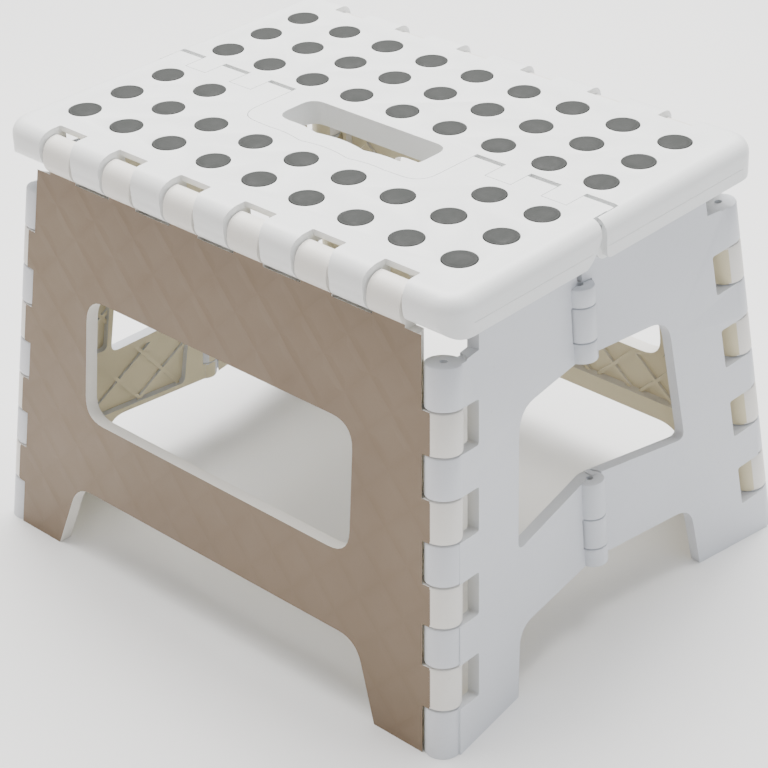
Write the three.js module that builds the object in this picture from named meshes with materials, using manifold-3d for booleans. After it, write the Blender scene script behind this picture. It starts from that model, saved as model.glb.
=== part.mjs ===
// Folding step stool: two seat halves, two side panels and two end panels that each fold in
// half, all joined by interleaved moulded knuckles on steel rods. Millimetres, +Z up, X along
// the seat, origin on the floor under the middle of the seat. Pulling the handle up swings
// the seat halves to vertical while the end panels fold inwards between the side panels.
import * as THREE from "three";
import { mergeVertices } from "three/addons/utils/BufferGeometryUtils.js";
import Module from "manifold-3d";

const wasm = await Module();
wasm.setup();

// ---- driving dimensions -------------------------------------------------------------------
const HEIGHT = 220; // floor to seat top
const GAP = 0.35; // least gap between two pieces that meet
const KNUCKLE_GAP = 0.5; // end gap between neighbouring knuckles
const CUTTER = 400; // larger than any piece

const SEAT = {
  halfLength: 145,
  halfWidth: 106.5,
  skirt: 19, // depth of the edge below the top
  plate: 3.5,
  wall: 3,
  edgeRound: 8,
  cornerRadius: 13,
  centreAxisDepth: 17,
  edgeAxisDepth: 14,
  edgeAxisY: 98,
  edgeBlock: 16, // solid strip that holds the edge rod
  edgeRodInset: 27,
  lobe: 8.3, // radius of the lobes between the side panel's knuckles
  lobeEnd: 96.1,
  skirtEndRadius: 22, // front half's skirt is rounded off where it meets the rear half
  skirtEndGap: 2.3,
  tongueRound: 4, // lower corner of the rear half's skirt, at the same place
};
const FINGER = {
  edges: [58.5, 75.3, 90.6, 107.7, 122.4, 139.2], // front and rear fingers take turns
  frontTip: 4.7,
  rearRoot: 7.7,
  rearTip: 6.7,
  barrel: 6,
  undercut: 13.2, // clear space under the plate beside the other half's knuckles
};
const HANDLE = {
  halfWidth: 44,
  front: -20.3,
  rear: 4.6,
  cornerRadius: 8,
  surroundHalfWidth: 58.2,
  surroundFront: -31,
  surroundRadius: 12,
  wavePitch: 15.2, // finger waves along the front of the hole and of the surround
  waveDepth: 1.5,
  wallDepth: 12,
  wall: 2.6,
};
const RIB = { half: 1, depth: 12, behindRow: 13.4, crossInner: 34, crossAt: [-105, -45, 45, 105] };
const DOT = { radius: 7.9, clearance: 0.35, pitchX: 30, rows: [20.5, 47.4, 74.2], columns: 4, rise: 0.4 };
const GRIP = { webTop: 3.85, webThickness: 1, strip: 17.6, tie: 8, handleRoom: 14.5 };
const EDGE_KNUCKLE = { centres: [21, 63, 105.5], halfLength: 9.4, radius: 8.3, crown: 10.8 };
const SLOT = { inner: 93.2, clearance: 0.6, sweep: 12 };

const SIDE_SLOPE = 0.1225; // outward run of a side panel per mm of drop
const END_SLOPE = 0.0825; // the same for the corner line seen from the front
const CORNER_TOP = { x: 127.1, y: 92 }; // corner hinge line at seat-top level
const CORNER_RADIUS = 8.5;
const APEX_DROP = CORNER_TOP.y / SIDE_SLOPE; // the hinge lines of one end meet this far up
const APEX = new THREE.Vector3(CORNER_TOP.x - END_SLOPE * APEX_DROP, 0, HEIGHT + APEX_DROP);
const CENTRE_LINE = { x: 133.9, depth: 163.5, radius: 7 }; // a point on the end's centre hinge
const SIDE = { thickness: 7, skin: 2.6, rim: 3.2, topDepth: 15 };
const END = {
  thickness: 6,
  skin: 2.4,
  rim: 2.8,
  topDepth: 20.6,
  lipDepth: 23.4, // behind its outer lip the top edge is lower, clear of the seat edge's barrels
  lip: 3,
  centreTopDepth: 28, // lower in the middle, under the seat's centre knuckles
  centreStep: [9, 20], // where the top edge steps down, measured back from the centre line
  cornerWidth: 15, // the top edge starts this far from the corner line
  planeDepth: 110,
};
const CORNER_SLOT = { width: 15, radius: 1.5 }; // slot in an end half for a side panel's knuckle
const OPENING = { top: 76.5, bottom: 141.6, halfTop: 88.5, halfBottom: 90, radius: 13 };
const LEG = { barBottom: 182, innerTop: 97, innerBottom: 113, fillet: 11 };
const END_OPENING = { top: 78.5, bottom: 146, centreBottom: 141, side: 47, topRadius: 12, bottomRadius: 5 };
const END_LEG = { barBottom: 186, innerTop: 49, innerBottom: 47, fillet: 10, toe: 3 };

// Knuckles along each hinge line, as depths below the seat top.
const CORNER_KNUCKLES = {
  end: [[35.5, 55.5], [76.5, 96], [117, 136.5], [157, 176], [197.5, 224]],
  side: [[56, 76], [96.5, 116.5], [137, 156.5], [176.5, 197]],
};
const CENTRE_KNUCKLES = {
  front: [[41, 50], [68, 78], [141, 160], [176.5, 186]],
  rear: [[50.5, 67.5], [160.5, 176]],
};
const ROD = { radius: 1.5, bore: 2 };
const SIDES = { knuckle: 12, rod: 6, dot: 8 }; // flats round each kind of round piece
const OPEN_PIVOT_PLAY = 1; // extra room at the corner where the closed linkage is opened
const KNUCKLE_PLAY = 1.25;

// ---- finishes -----------------------------------------------------------------------------
const FINISH = {
  shell: { color: 0xf1f2ef, roughness: 0.42, metalness: 0 },
  panel: { color: 0xeceae4, roughness: 0.45, metalness: 0 },
  grip: { color: 0x4b4e4b, roughness: 0.85, metalness: 0 },
  steel: { color: 0xb9bcc0, roughness: 0.3, metalness: 1 },
};

// ---- solids -------------------------------------------------------------------------------
function solid(geometry) {
  const plain = geometry.index ? geometry.toNonIndexed() : geometry.clone();
  plain.deleteAttribute("normal");
  plain.deleteAttribute("uv");
  const merged = mergeVertices(plain, 1e-4);
  const vertProperties = new Float32Array(merged.attributes.position.array);
  const triVerts = new Uint32Array(merged.index.array);
  return new wasm.Manifold(new wasm.Mesh({ numProp: 3, vertProperties, triVerts }));
}

function join(pieces) {
  return pieces.reduce((all, piece) => all.add(piece));
}

function cut(body, cutters) {
  return cutters.reduce((left, cutter) => left.subtract(cutter), body);
}

function box([x0, x1], [y0, y1], [z0, z1]) {
  const geometry = new THREE.BoxGeometry(x1 - x0, y1 - y0, z1 - z0);
  return solid(geometry.translate((x0 + x1) / 2, (y0 + y1) / 2, (z0 + z1) / 2));
}

// A prism with round section between two points.
function bar(from, to, radius, sides) {
  const length = from.distanceTo(to);
  const geometry = new THREE.CylinderGeometry(radius, radius, length, sides);
  const direction = to.clone().sub(from).normalize();
  const turn = new THREE.Quaternion().setFromUnitVectors(new THREE.Vector3(0, 1, 0), direction);
  const middle = from.clone().add(to).multiplyScalar(0.5);
  return solid(geometry.applyQuaternion(turn).translate(middle.x, middle.y, middle.z));
}

// An outline extruded along its own z from z0 to z1, then placed by a matrix.
function slab(shape, z0, z1, placed = new THREE.Matrix4()) {
  const options = { depth: z1 - z0, bevelEnabled: false, curveSegments: 4 };
  const geometry = new THREE.ExtrudeGeometry(shape, options).translate(0, 0, z0);
  return solid(geometry.applyMatrix4(placed));
}

// A profile given as (y, z) extruded along X.
const ALONG_X = new THREE.Matrix4().makeBasis(
  new THREE.Vector3(0, 1, 0),
  new THREE.Vector3(0, 0, 1),
  new THREE.Vector3(1, 0, 0),
);
function beam(shape, [x0, x1]) {
  return slab(shape, x0, x1, ALONG_X);
}

// A closed outline with each corner rounded: corners are [x, y, radius].
function rounded(corners) {
  const shape = new THREE.Shape();
  corners.forEach(([x, y, radius = 0], i) => {
    const before = corners[(i + corners.length - 1) % corners.length];
    const after = corners[(i + 1) % corners.length];
    const here = new THREE.Vector2(x, y);
    const inwards = new THREE.Vector2(before[0], before[1]).sub(here).setLength(radius).add(here);
    const outwards = new THREE.Vector2(after[0], after[1]).sub(here).setLength(radius).add(here);
    if (i === 0) shape.moveTo(inwards.x, inwards.y);
    else shape.lineTo(inwards.x, inwards.y);
    if (radius > 0) shape.quadraticCurveTo(x, y, outwards.x, outwards.y);
  });
  shape.closePath();
  return shape;
}

// ---- hinge lines --------------------------------------------------------------------------
const depthToZ = (depth) => HEIGHT - depth;
const cornerAt = (depth) =>
  new THREE.Vector3(CORNER_TOP.x + END_SLOPE * depth, -CORNER_TOP.y - SIDE_SLOPE * depth, depthToZ(depth));
const CENTRE_SLOPE = (CENTRE_LINE.x - APEX.x) / (APEX_DROP + CENTRE_LINE.depth);
const centreAt = (depth) =>
  new THREE.Vector3(APEX.x + CENTRE_SLOPE * (APEX_DROP + depth), 0, depthToZ(depth));

function along(line, [from, to], radius, sides, extra = 0) {
  return bar(line(from - extra), line(to + extra), radius, sides);
}

// ---- seat ---------------------------------------------------------------------------------
const edgeRodEnd = SEAT.halfLength - SEAT.edgeRodInset;
const top = HEIGHT;
const axisZ = HEIGHT - SEAT.centreAxisDepth;
const edgeAxisZ = HEIGHT - SEAT.edgeAxisDepth;

// The whole seat with rounded edges, from above a rounded rectangle.
function seatBlank() {
  const r = SEAT.edgeRound;
  const x = SEAT.halfLength - r;
  const y = SEAT.halfWidth - r;
  const c = SEAT.cornerRadius - r;
  const outline = rounded([[-x, -y, c], [x, -y, c], [x, y, c], [-x, y, c]]);
  const geometry = new THREE.ExtrudeGeometry(outline, {
    depth: SEAT.skirt - r,
    bevelThickness: r,
    bevelSize: r,
    bevelSegments: 2,
    curveSegments: 3,
  });
  const bottomBevel = box([-CUTTER, CUTTER], [-CUTTER, CUTTER], [-CUTTER, top - SEAT.skirt]);
  return solid(geometry.translate(0, 0, top - SEAT.skirt)).subtract(bottomBevel);
}

// The hollow under one half: everything inside its skirt, edge block and plate.
function seatHollow(side) {
  const x = SEAT.halfLength - SEAT.wall;
  const outer = SEAT.halfWidth - SEAT.edgeBlock;
  const inner = -CUTTER / 2;
  const outline = rounded([[-x, -outer, 5], [x, -outer, 5], [x, -inner], [-x, -inner]]);
  const hollow = slab(outline, top - CUTTER, top - SEAT.plate);
  return side < 0 ? hollow : turned(hollow, Math.PI);
}

// A solid turned about the vertical axis through the origin.
function turned(body, angle) {
  return solid(geometryOf(body).rotateZ(angle));
}

function geometryOf(body) {
  const { numProp, vertProperties, triVerts } = body.getMesh();
  const positions = new Float32Array((vertProperties.length / numProp) * 3);
  for (let i = 0; i * numProp < vertProperties.length; i++)
    positions.set(vertProperties.subarray(i * numProp, i * numProp + 3), i * 3);
  const geometry = new THREE.BufferGeometry();
  geometry.setAttribute("position", new THREE.BufferAttribute(positions, 3));
  geometry.setIndex(new THREE.BufferAttribute(new Uint32Array(triVerts), 1));
  return geometry;
}

// Finger ranges along X: front fingers are the even intervals, rear fingers the odd ones.
function fingerRanges(parity) {
  const ranges = [];
  for (let i = parity; i < FINGER.edges.length - 1; i += 2) {
    const [x0, x1] = [FINGER.edges[i], FINGER.edges[i + 1]];
    ranges.push([x0, x1], [-x1, -x0]);
  }
  return ranges;
}

const shrink = ([a, b], by) => [a + by, b - by];

// The scalloped line that bounds the handle: y at x, with waves between its corners.
function waveLine(shape, y, fromX, toX) {
  const steps = 12;
  for (let i = 0; i <= steps; i++) {
    const x = fromX + ((toX - fromX) * i) / steps;
    const wave = Math.abs(Math.cos((Math.PI * x) / (2 * HANDLE.wavePitch)));
    shape.lineTo(x, y - HANDLE.waveDepth * (1 - wave));
  }
}

// The part of the rear half that reaches forward round the handle, grown by a margin.
function surroundOutline(grow) {
  const x = HANDLE.surroundHalfWidth + grow;
  const y = HANDLE.surroundFront - grow;
  const r = HANDLE.surroundRadius + grow;
  const shape = new THREE.Shape();
  shape.moveTo(x, 20);
  shape.lineTo(-x, 20);
  shape.lineTo(-x, y + r);
  shape.quadraticCurveTo(-x, y, -x + r, y);
  waveLine(shape, y, -x + r + 12, x - r - 12);
  shape.lineTo(x - r, y);
  shape.quadraticCurveTo(x, y, x, y + r);
  shape.closePath();
  return shape;
}

function handleOutline(grow) {
  const x = HANDLE.halfWidth + grow;
  const front = HANDLE.front - grow;
  const rear = HANDLE.rear + grow;
  const r = HANDLE.cornerRadius + grow;
  const shape = new THREE.Shape();
  shape.moveTo(x - r, rear);
  shape.lineTo(-x + r, rear);
  shape.quadraticCurveTo(-x, rear, -x, rear - r);
  shape.lineTo(-x, front + r);
  shape.quadraticCurveTo(-x, front, -x + r, front);
  waveLine(shape, front, -x + r + 2, x - r - 2);
  shape.lineTo(x - r, front);
  shape.quadraticCurveTo(x, front, x, front + r);
  shape.lineTo(x, rear - r);
  shape.quadraticCurveTo(x, rear, x - r, rear);
  return shape;
}

// The plan area that belongs to the rear half.
function rearPlan(grow) {
  const z = [top - CUTTER, top + 1];
  const rearEdge = CUTTER / 2;
  const full = [-CUTTER / 2, CUTTER / 2];
  const behind = box(full, [FINGER.rearRoot - grow, rearEdge], z);
  const fingers = fingerRanges(1).map((x) => box(shrink(x, GAP - grow), [-FINGER.rearTip - grow, rearEdge], z));
  const outerX = FINGER.edges.at(-1) + GAP - grow;
  const tongues = [-1, 1].map((s) =>
    box(s > 0 ? [outerX, CUTTER / 2] : [-CUTTER / 2, -outerX], [-FINGER.rearTip - grow, rearEdge], z),
  );
  const surround = slab(surroundOutline(grow), z[0], z[1]);
  return join([behind, ...fingers, ...tongues, surround]);
}

// Front fingers stop short of the rear half's root line.
function frontFingerTips() {
  const z = [top - CUTTER, top + 1];
  return fingerRanges(0).map((x) => box(x, [FINGER.frontTip, CUTTER / 2], z));
}

// Profile of a closed knuckle under a front finger, as (y, z).
function closedKnuckle() {
  const r = FINGER.barrel;
  const shape = new THREE.Shape();
  shape.moveTo(FINGER.frontTip, top - 0.5);
  shape.lineTo(FINGER.frontTip, axisZ + 4);
  shape.absarc(0, axisZ, r, Math.PI / 6, -Math.PI, true);
  shape.lineTo(-r, axisZ + 5);
  shape.lineTo(-FINGER.undercut - 4, top - SEAT.plate);
  shape.lineTo(-FINGER.undercut - 4, top - SEAT.plate + 1);
  shape.lineTo(-6, top - 0.5);
  shape.closePath();
  return shape;
}

// Profile of an open snap-in hook under a rear finger: it holds the rod from the front and
// below, and is open towards the rear half.
function openHook() {
  const r = FINGER.barrel;
  const inner = ROD.radius + 0.6;
  const shape = new THREE.Shape();
  shape.moveTo(-FINGER.rearTip + GAP, top - 0.5);
  shape.lineTo(-r, axisZ);
  shape.absarc(0, axisZ, r, Math.PI, Math.PI * 1.72, false);
  shape.absarc(0, axisZ, inner, Math.PI * 1.72, Math.PI, true);
  shape.lineTo(-inner, axisZ + 8.5);
  shape.lineTo(0, top - SEAT.plate + 1);
  shape.lineTo(0, top - 0.5);
  shape.closePath();
  return shape;
}

// Slots in the long edge that take the side panel's knuckles, hollowed round the rod so that
// the knuckles can turn under the plate.
function edgeSlots(side) {
  const clear = EDGE_KNUCKLE.halfLength + SLOT.clearance;
  const y = side < 0 ? [-CUTTER, -SLOT.inner] : [SLOT.inner, CUTTER];
  const z = [top - CUTTER, top + 1];
  return EDGE_KNUCKLE.centres.flatMap((c) =>
    [c, -c].map((x) => {
      const from = new THREE.Vector3(x - clear, side * SEAT.edgeAxisY, edgeAxisZ);
      const to = new THREE.Vector3(x + clear, side * SEAT.edgeAxisY, edgeAxisZ);
      return box([x - clear, x + clear], y, z).add(bar(from, to, SLOT.sweep, SIDES.knuckle));
    }),
  );
}

function edgeRodBore(side, radius) {
  const y = side * SEAT.edgeAxisY;
  const end = edgeRodEnd + 0.5;
  return bar(new THREE.Vector3(-end, y, edgeAxisZ), new THREE.Vector3(end, y, edgeAxisZ), radius, SIDES.rod);
}

// The underside of the long edge, rounded about the edge rod.
function edgeUnderside(side) {
  const shape = new THREE.Shape();
  const low = top - SEAT.skirt;
  const r = 9;
  const out = SEAT.halfWidth + 1;
  shape.moveTo(side * out, low - 1);
  shape.lineTo(side * out, low + r);
  shape.lineTo(side * (out - 1), low + r);
  shape.quadraticCurveTo(side * (out - 1), low, side * (out - 1 - r), low);
  shape.lineTo(side * (out - 1 - r), low - 1);
  shape.closePath();
  return beam(shape, [-CUTTER / 2, CUTTER / 2]);
}

const dotXs = Array.from({ length: 2 * DOT.columns + 1 }, (_, i) => (i - DOT.columns) * DOT.pitchX);

// Dot centres of one half. The handle takes the place of the middle dots of the inner front row.
function dotCentres(side) {
  return DOT.rows.flatMap((row) =>
    dotXs
      .filter((x) => side > 0 || row !== DOT.rows[0] || Math.abs(x) > HANDLE.surroundHalfWidth + DOT.radius)
      .map((x) => [x, side * row]),
  );
}

function disc([x, y], radius, [z0, z1], sides = SIDES.dot) {
  return bar(new THREE.Vector3(x, y, z0), new THREE.Vector3(x, y, z1), radius, sides);
}

function dotHoles(side) {
  const bottom = depthToZ(GRIP.webTop + GRIP.webThickness + GAP);
  return dotCentres(side).map((c) => disc(c, DOT.radius + DOT.clearance, [bottom, top + 1]));
}

// Round lobes of the long edge between the side panel's knuckles, about the edge rod.
function edgeLobes(side) {
  const y = side * SEAT.edgeAxisY;
  const ends = [-SEAT.lobeEnd, SEAT.lobeEnd].map((x) => new THREE.Vector3(x, y, edgeAxisZ));
  return bar(ends[0], ends[1], SEAT.lobe, SIDES.knuckle);
}

// Ribs under the plate: lengthwise between the dot rows, crosswise between the dot columns.
function seatRibs(side) {
  const y = [DOT.rows[0] + RIB.behindRow, DOT.rows[1] + RIB.behindRow];
  const { half, crossInner: inner } = RIB;
  const z = [top - RIB.depth, top - SEAT.plate + 0.5];
  const outer = SEAT.halfWidth - SEAT.edgeBlock + 1;
  const span = [-SEAT.halfLength + SEAT.wall - 0.5, SEAT.halfLength - SEAT.wall + 0.5];
  const lengthwise = y.map((v) => box(span, side < 0 ? [-v - half, -v + half] : [v - half, v + half], z));
  const crosswise = RIB.crossAt.map((x) =>
    box([x - half, x + half], side < 0 ? [-outer, -inner] : [inner, outer], z),
  );
  return [...lengthwise, ...crosswise];
}

// Room under the plate and through the ribs for the grip's web.
function gripRoom(side) {
  return gripWeb(side, GRIP.webTop - 1, GRIP.webTop + GRIP.webThickness + GAP, 0.5);
}

// The web that joins one half's studs: a strip under each row and a tie across both ends.
function gripWeb(side, depth0, depth1, grow) {
  const z = [depthToZ(depth1), depthToZ(depth0)];
  const tie = GRIP.tie / 2 + grow;
  const strip = GRIP.strip / 2 + grow;
  const onSide = ([near, far]) => (side < 0 ? [-far, -near] : [near, far]);
  const ties = [-dotXs.at(-1), dotXs.at(-1)].map((x) =>
    box([x - tie, x + tie], onSide([DOT.rows[0], DOT.rows.at(-1)]), z),
  );
  const reach = dotXs.at(-1) + strip;
  const strips = DOT.rows.map((row) => box([-reach, reach], onSide([row - strip, row + strip]), z));
  const whole = join([...ties, ...strips]);
  if (side > 0) return whole;
  const underHandle = HANDLE.surroundHalfWidth + GRIP.handleRoom - grow;
  const middle = box([-underHandle, underHandle], [-DOT.rows[0] - strip - 1, 0], [z[0] - 1, z[1] + 1]);
  return whole.subtract(middle);
}

function grip(side) {
  const web = gripWeb(side, GRIP.webTop, GRIP.webTop + GRIP.webThickness, 0);
  const studs = dotCentres(side).map((c) =>
    disc(c, DOT.radius, [depthToZ(GRIP.webTop + GRIP.webThickness / 2), top + DOT.rise]),
  );
  return join([web, ...studs]);
}

// Space under one half kept free for the other half's knuckles and rod.
function knuckleRoom(ranges, side) {
  const z = [top - CUTTER, top - SEAT.plate];
  const y = side < 0 ? [-FINGER.undercut, CUTTER / 4] : [-CUTTER / 4, FINGER.undercut];
  return ranges.map((x) => box(shrink(x, -GAP), y, z));
}

function seatFront() {
  let body = seatBlank().subtract(rearPlan(GAP));
  body = cut(body, frontFingerTips());
  body = cut(body, [seatHollow(-1), edgeUnderside(-1)]);
  body = join([body, edgeLobes(-1), ...seatRibs(-1)]);
  body = cut(body, [skirtRelief(), ...knuckleRoom(fingerRanges(1), -1)]);
  const knuckles = fingerRanges(0).map((x) => beam(closedKnuckle(), shrink(x, GAP)));
  body = join([body, ...knuckles]);
  const rodPath = centreRod([FINGER.edges[0] - 1, FINGER.edges.at(-1) + 1], ROD.bore, SIDES.rod);
  const mirrored = turned(rodPath, Math.PI);
  const rodPaths = [rodPath, mirrored, edgeRodBore(-1, ROD.bore)];
  return cut(body, [gripRoom(-1), ...rodPaths, ...edgeSlots(-1), ...dotHoles(-1)]);
}

// The front half's end skirt is rounded off towards the rear half's tongue.
function skirtRelief() {
  const r = SEAT.skirtEndRadius;
  const y = -FINGER.rearTip - SEAT.skirtEndGap;
  const shape = new THREE.Shape();
  shape.moveTo(0, top + 1);
  shape.lineTo(y, top + 1);
  shape.absarc(y - r, top, r, 0, -Math.PI / 2, true);
  shape.lineTo(y - r, top - r - 4);
  shape.lineTo(0, top - r - 4);
  shape.closePath();
  const relief = [-1, 1].map((s) => {
    const x = [FINGER.edges.at(-1) - GAP, SEAT.halfLength + 1];
    return beam(shape, s > 0 ? x : [-x[1], -x[0]]);
  });
  return join(relief);
}

// The lower corner of the rear half's tongue is rounded so that it can swing past.
function tongueRelief() {
  const y = -FINGER.rearTip;
  const z = top - SEAT.skirt;
  const r = SEAT.tongueRound;
  const shape = new THREE.Shape();
  shape.moveTo(y - 1, z - 1);
  shape.lineTo(y - 1, z + r);
  shape.lineTo(y, z + r);
  shape.quadraticCurveTo(y, z, y + r, z);
  shape.lineTo(y + r, z - 1);
  shape.closePath();
  return beam(shape, [-CUTTER / 2, CUTTER / 2]);
}

function handleWalls() {
  const z = [top - HANDLE.wallDepth, top - 1];
  const ring = slab(handleOutline(HANDLE.wall), z[0], z[1]);
  const rim = slab(surroundOutline(-0.4), z[0], z[1]).subtract(slab(surroundOutline(-0.4 - HANDLE.wall), z[0] - 1, z[1] + 1));
  const forward = box([-CUTTER, CUTTER], [-CUTTER, 7], [z[0] - 1, z[1] + 1]);
  return ring.add(rim.intersect(forward));
}

function seatRear() {
  let body = seatBlank().intersect(rearPlan(0));
  body = cut(body, [seatHollow(1), edgeUnderside(1), tongueRelief()]);
  body = join([body, edgeLobes(1), ...seatRibs(1), handleWalls()]);
  body = cut(body, [gripRoom(1), ...knuckleRoom(fingerRanges(0), 1)]);
  const hooks = fingerRanges(1).map((x) => beam(openHook(), shrink(x, GAP)));
  body = join([body, ...hooks]);
  const hole = slab(handleOutline(0), top - CUTTER, top + 1);
  return cut(body, [hole, ...edgeSlots(1), edgeRodBore(1, ROD.bore), ...dotHoles(1)]);
}

function centreRod([x0, x1], radius, sides) {
  return bar(new THREE.Vector3(x0, 0, axisZ), new THREE.Vector3(x1, 0, axisZ), radius, sides);
}

// ---- side panel ---------------------------------------------------------------------------
// Frame of the front side panel: x along the stool, y up its slope, z out of its outer face.
const sideTilt = Math.atan(SIDE_SLOPE);
const sideFaceY = -CORNER_TOP.y - SIDE_SLOPE * HEIGHT - CORNER_RADIUS / Math.cos(sideTilt);
const SIDE_FRAME = new THREE.Matrix4()
  .makeRotationX(Math.PI / 2 - sideTilt)
  .setPosition(0, sideFaceY, 0);
const upSlope = (depth) => depthToZ(depth) / Math.cos(sideTilt);
const cornerX = (depth) => CORNER_TOP.x + END_SLOPE * depth;

function mirroredPairs(right) {
  const left = right.map(([x, y, r]) => [-x, y, r]).reverse();
  return [...right, ...left];
}

function sideOutline(inset) {
  const foot = -6 - inset;
  const edge = (depth) => cornerX(depth) - inset;
  return rounded(
    mirroredPairs([
      [LEG.innerTop + inset, upSlope(LEG.barBottom) + inset, LEG.fillet],
      [LEG.innerBottom + inset, foot, 0],
      [edge(HEIGHT), foot, 0],
      [edge(SIDE.topDepth), upSlope(SIDE.topDepth) - inset, 0],
    ]),
  );
}

function sideOpening(grow) {
  const { halfTop, halfBottom, radius } = OPENING;
  return rounded([
    [-halfBottom - grow, upSlope(OPENING.bottom) - grow, radius],
    [halfBottom + grow, upSlope(OPENING.bottom) - grow, radius],
    [halfTop + grow, upSlope(OPENING.top) + grow, radius],
    [-halfTop - grow, upSlope(OPENING.top) + grow, radius],
  ]);
}

function mirrorX(body) {
  const geometry = geometryOf(body).scale(-1, 1, 1);
  const index = geometry.index.array;
  for (let i = 0; i < index.length; i += 3) [index[i + 1], index[i + 2]] = [index[i + 2], index[i + 1]];
  return solid(geometry);
}

const bothEnds = (body) => [body, mirrorX(body)];

function edgeKnuckle() {
  const y = -SEAT.edgeAxisY;
  const r = EDGE_KNUCKLE.radius;
  const shape = new THREE.Shape();
  shape.absarc(y, edgeAxisZ, r, -Math.PI * 0.1, -Math.PI, true);
  shape.quadraticCurveTo(y - r, edgeAxisZ + EDGE_KNUCKLE.crown, y + 0.5, edgeAxisZ + EDGE_KNUCKLE.crown);
  shape.quadraticCurveTo(y + 4, edgeAxisZ + EDGE_KNUCKLE.crown, y + 4, edgeAxisZ + 5);
  shape.closePath();
  return shape;
}

function seatKnuckleRoom() {
  const edges = EDGE_KNUCKLE.centres.flatMap((c) => [c, -c]).sort((a, b) => a - b);
  const reach = EDGE_KNUCKLE.halfLength;
  const starts = [-CUTTER / 2, ...edges.map((c) => c + reach)];
  const ends = [...edges.map((c) => c - reach), CUTTER / 2];
  return starts.map((start, i) => {
    const from = new THREE.Vector3(start, -SEAT.edgeAxisY, edgeAxisZ);
    const to = new THREE.Vector3(ends[i], -SEAT.edgeAxisY, edgeAxisZ);
    return bar(from, to, SEAT.lobe + KNUCKLE_PLAY, SIDES.knuckle);
  });
}

function sidePanel() {
  const { thickness, skin, rim } = SIDE;
  const blank = slab(sideOutline(0), -thickness, 0, SIDE_FRAME);
  const opening = slab(sideOpening(0), -thickness - 1, 1, SIDE_FRAME);
  const pocket = slab(sideOutline(rim + 8), -thickness - 1, -skin, SIDE_FRAME).subtract(
    slab(sideOpening(rim), -thickness - 2, 0, SIDE_FRAME),
  );
  const plate = cut(blank, [pocket, opening]);
  const sideKnuckles = CORNER_KNUCKLES.side.flatMap((range) =>
    bothEnds(along(cornerAt, range, CORNER_RADIUS, SIDES.knuckle)),
  );
  const topKnuckles = EDGE_KNUCKLE.centres.flatMap((c) =>
    bothEnds(beam(edgeKnuckle(), [c - EDGE_KNUCKLE.halfLength, c + EDGE_KNUCKLE.halfLength])),
  );
  const endRoom = CORNER_KNUCKLES.end.flatMap((range) =>
    bothEnds(along(cornerAt, range, CORNER_RADIUS + KNUCKLE_PLAY, SIDES.knuckle, KNUCKLE_GAP)),
  );
  const aboveKnuckles = [-HEIGHT, CORNER_KNUCKLES.side[0][0] - KNUCKLE_GAP];
  const cornerWindow = bothEnds(along(cornerAt, aboveKnuckles, CORNER_RADIUS + KNUCKLE_PLAY, SIDES.knuckle));
  let body = cut(plate, [...endRoom, ...cornerWindow, ...seatKnuckleRoom()]);
  body = join([body, ...sideKnuckles, ...topKnuckles]);
  const bores = bothEnds(along(cornerAt, [20, HEIGHT + 8], ROD.bore, SIDES.rod));
  const floor = box([-CUTTER, CUTTER], [-CUTTER, CUTTER], [-CUTTER, 0]);
  return cut(body, [...bores, edgeRodBore(-1, ROD.bore), floor, innerEdgeRoom()]);
}

// The panel's top edge is trimmed clear of the seat's edge block.
function innerEdgeRoom() {
  const inner = -SEAT.edgeAxisY + EDGE_KNUCKLE.radius + 0.5;
  return box([-CUTTER, CUTTER], [inner, 0], [edgeAxisZ - 12, CUTTER]);
}

// ---- end panel, front half of the right end -----------------------------------------------
// Frame: x from the corner hinge towards the centre hinge, y up towards the apex, z outwards.
// Its outer face, at z = CORNER_RADIUS, touches the corner knuckles and holds the centre hinge
// line and the apex, so the two halves can fold face to face.
function endFrame() {
  const up = cornerAt(0).sub(cornerAt(1)).normalize();
  const corner = cornerAt(END.planeDepth);
  const reach = centreAt(END.planeDepth).sub(corner);
  reach.addScaledVector(up, -reach.dot(up));
  const span = reach.length();
  const across = reach.clone().normalize();
  const out = across.clone().cross(up);
  const lean = Math.asin(CORNER_RADIUS / span);
  const x = across.clone().multiplyScalar(Math.cos(lean)).addScaledVector(out, -Math.sin(lean));
  const outwards = out.clone().multiplyScalar(Math.cos(lean)).addScaledVector(across, Math.sin(lean));
  const facePoint = corner.clone().addScaledVector(outwards, CORNER_RADIUS);
  const y = APEX.clone().sub(facePoint).normalize();
  const z = x.clone().cross(y);
  const origin = facePoint.clone().addScaledVector(z, -CORNER_RADIUS);
  const frame = new THREE.Matrix4().makeBasis(x, y, z).setPosition(origin);
  return { frame, width: span * Math.cos(lean) };
}

const { frame: END_FRAME, width: END_WIDTH } = endFrame();
const cornerStretch = cornerAt(0).distanceTo(cornerAt(1));
const upCorner = (depth) => (END.planeDepth - depth) * cornerStretch;
const apexRise = upCorner(-APEX_DROP);
const levelRise = -END_FRAME.elements[2] / END_FRAME.elements[6]; // keeps an edge level along x

// A point of the end outline: x from the corner line, depth below the seat top, corner radius.
const endPoint = ([x, depth, radius = 0]) => [x, upCorner(depth) + x * levelRise, radius];

// Distance from the corner line to the centre line, at a level.
function centreX(depth) {
  return (END_WIDTH * (1 - upCorner(depth) / apexRise)) / (1 + (END_WIDTH * levelRise) / apexRise);
}

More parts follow.
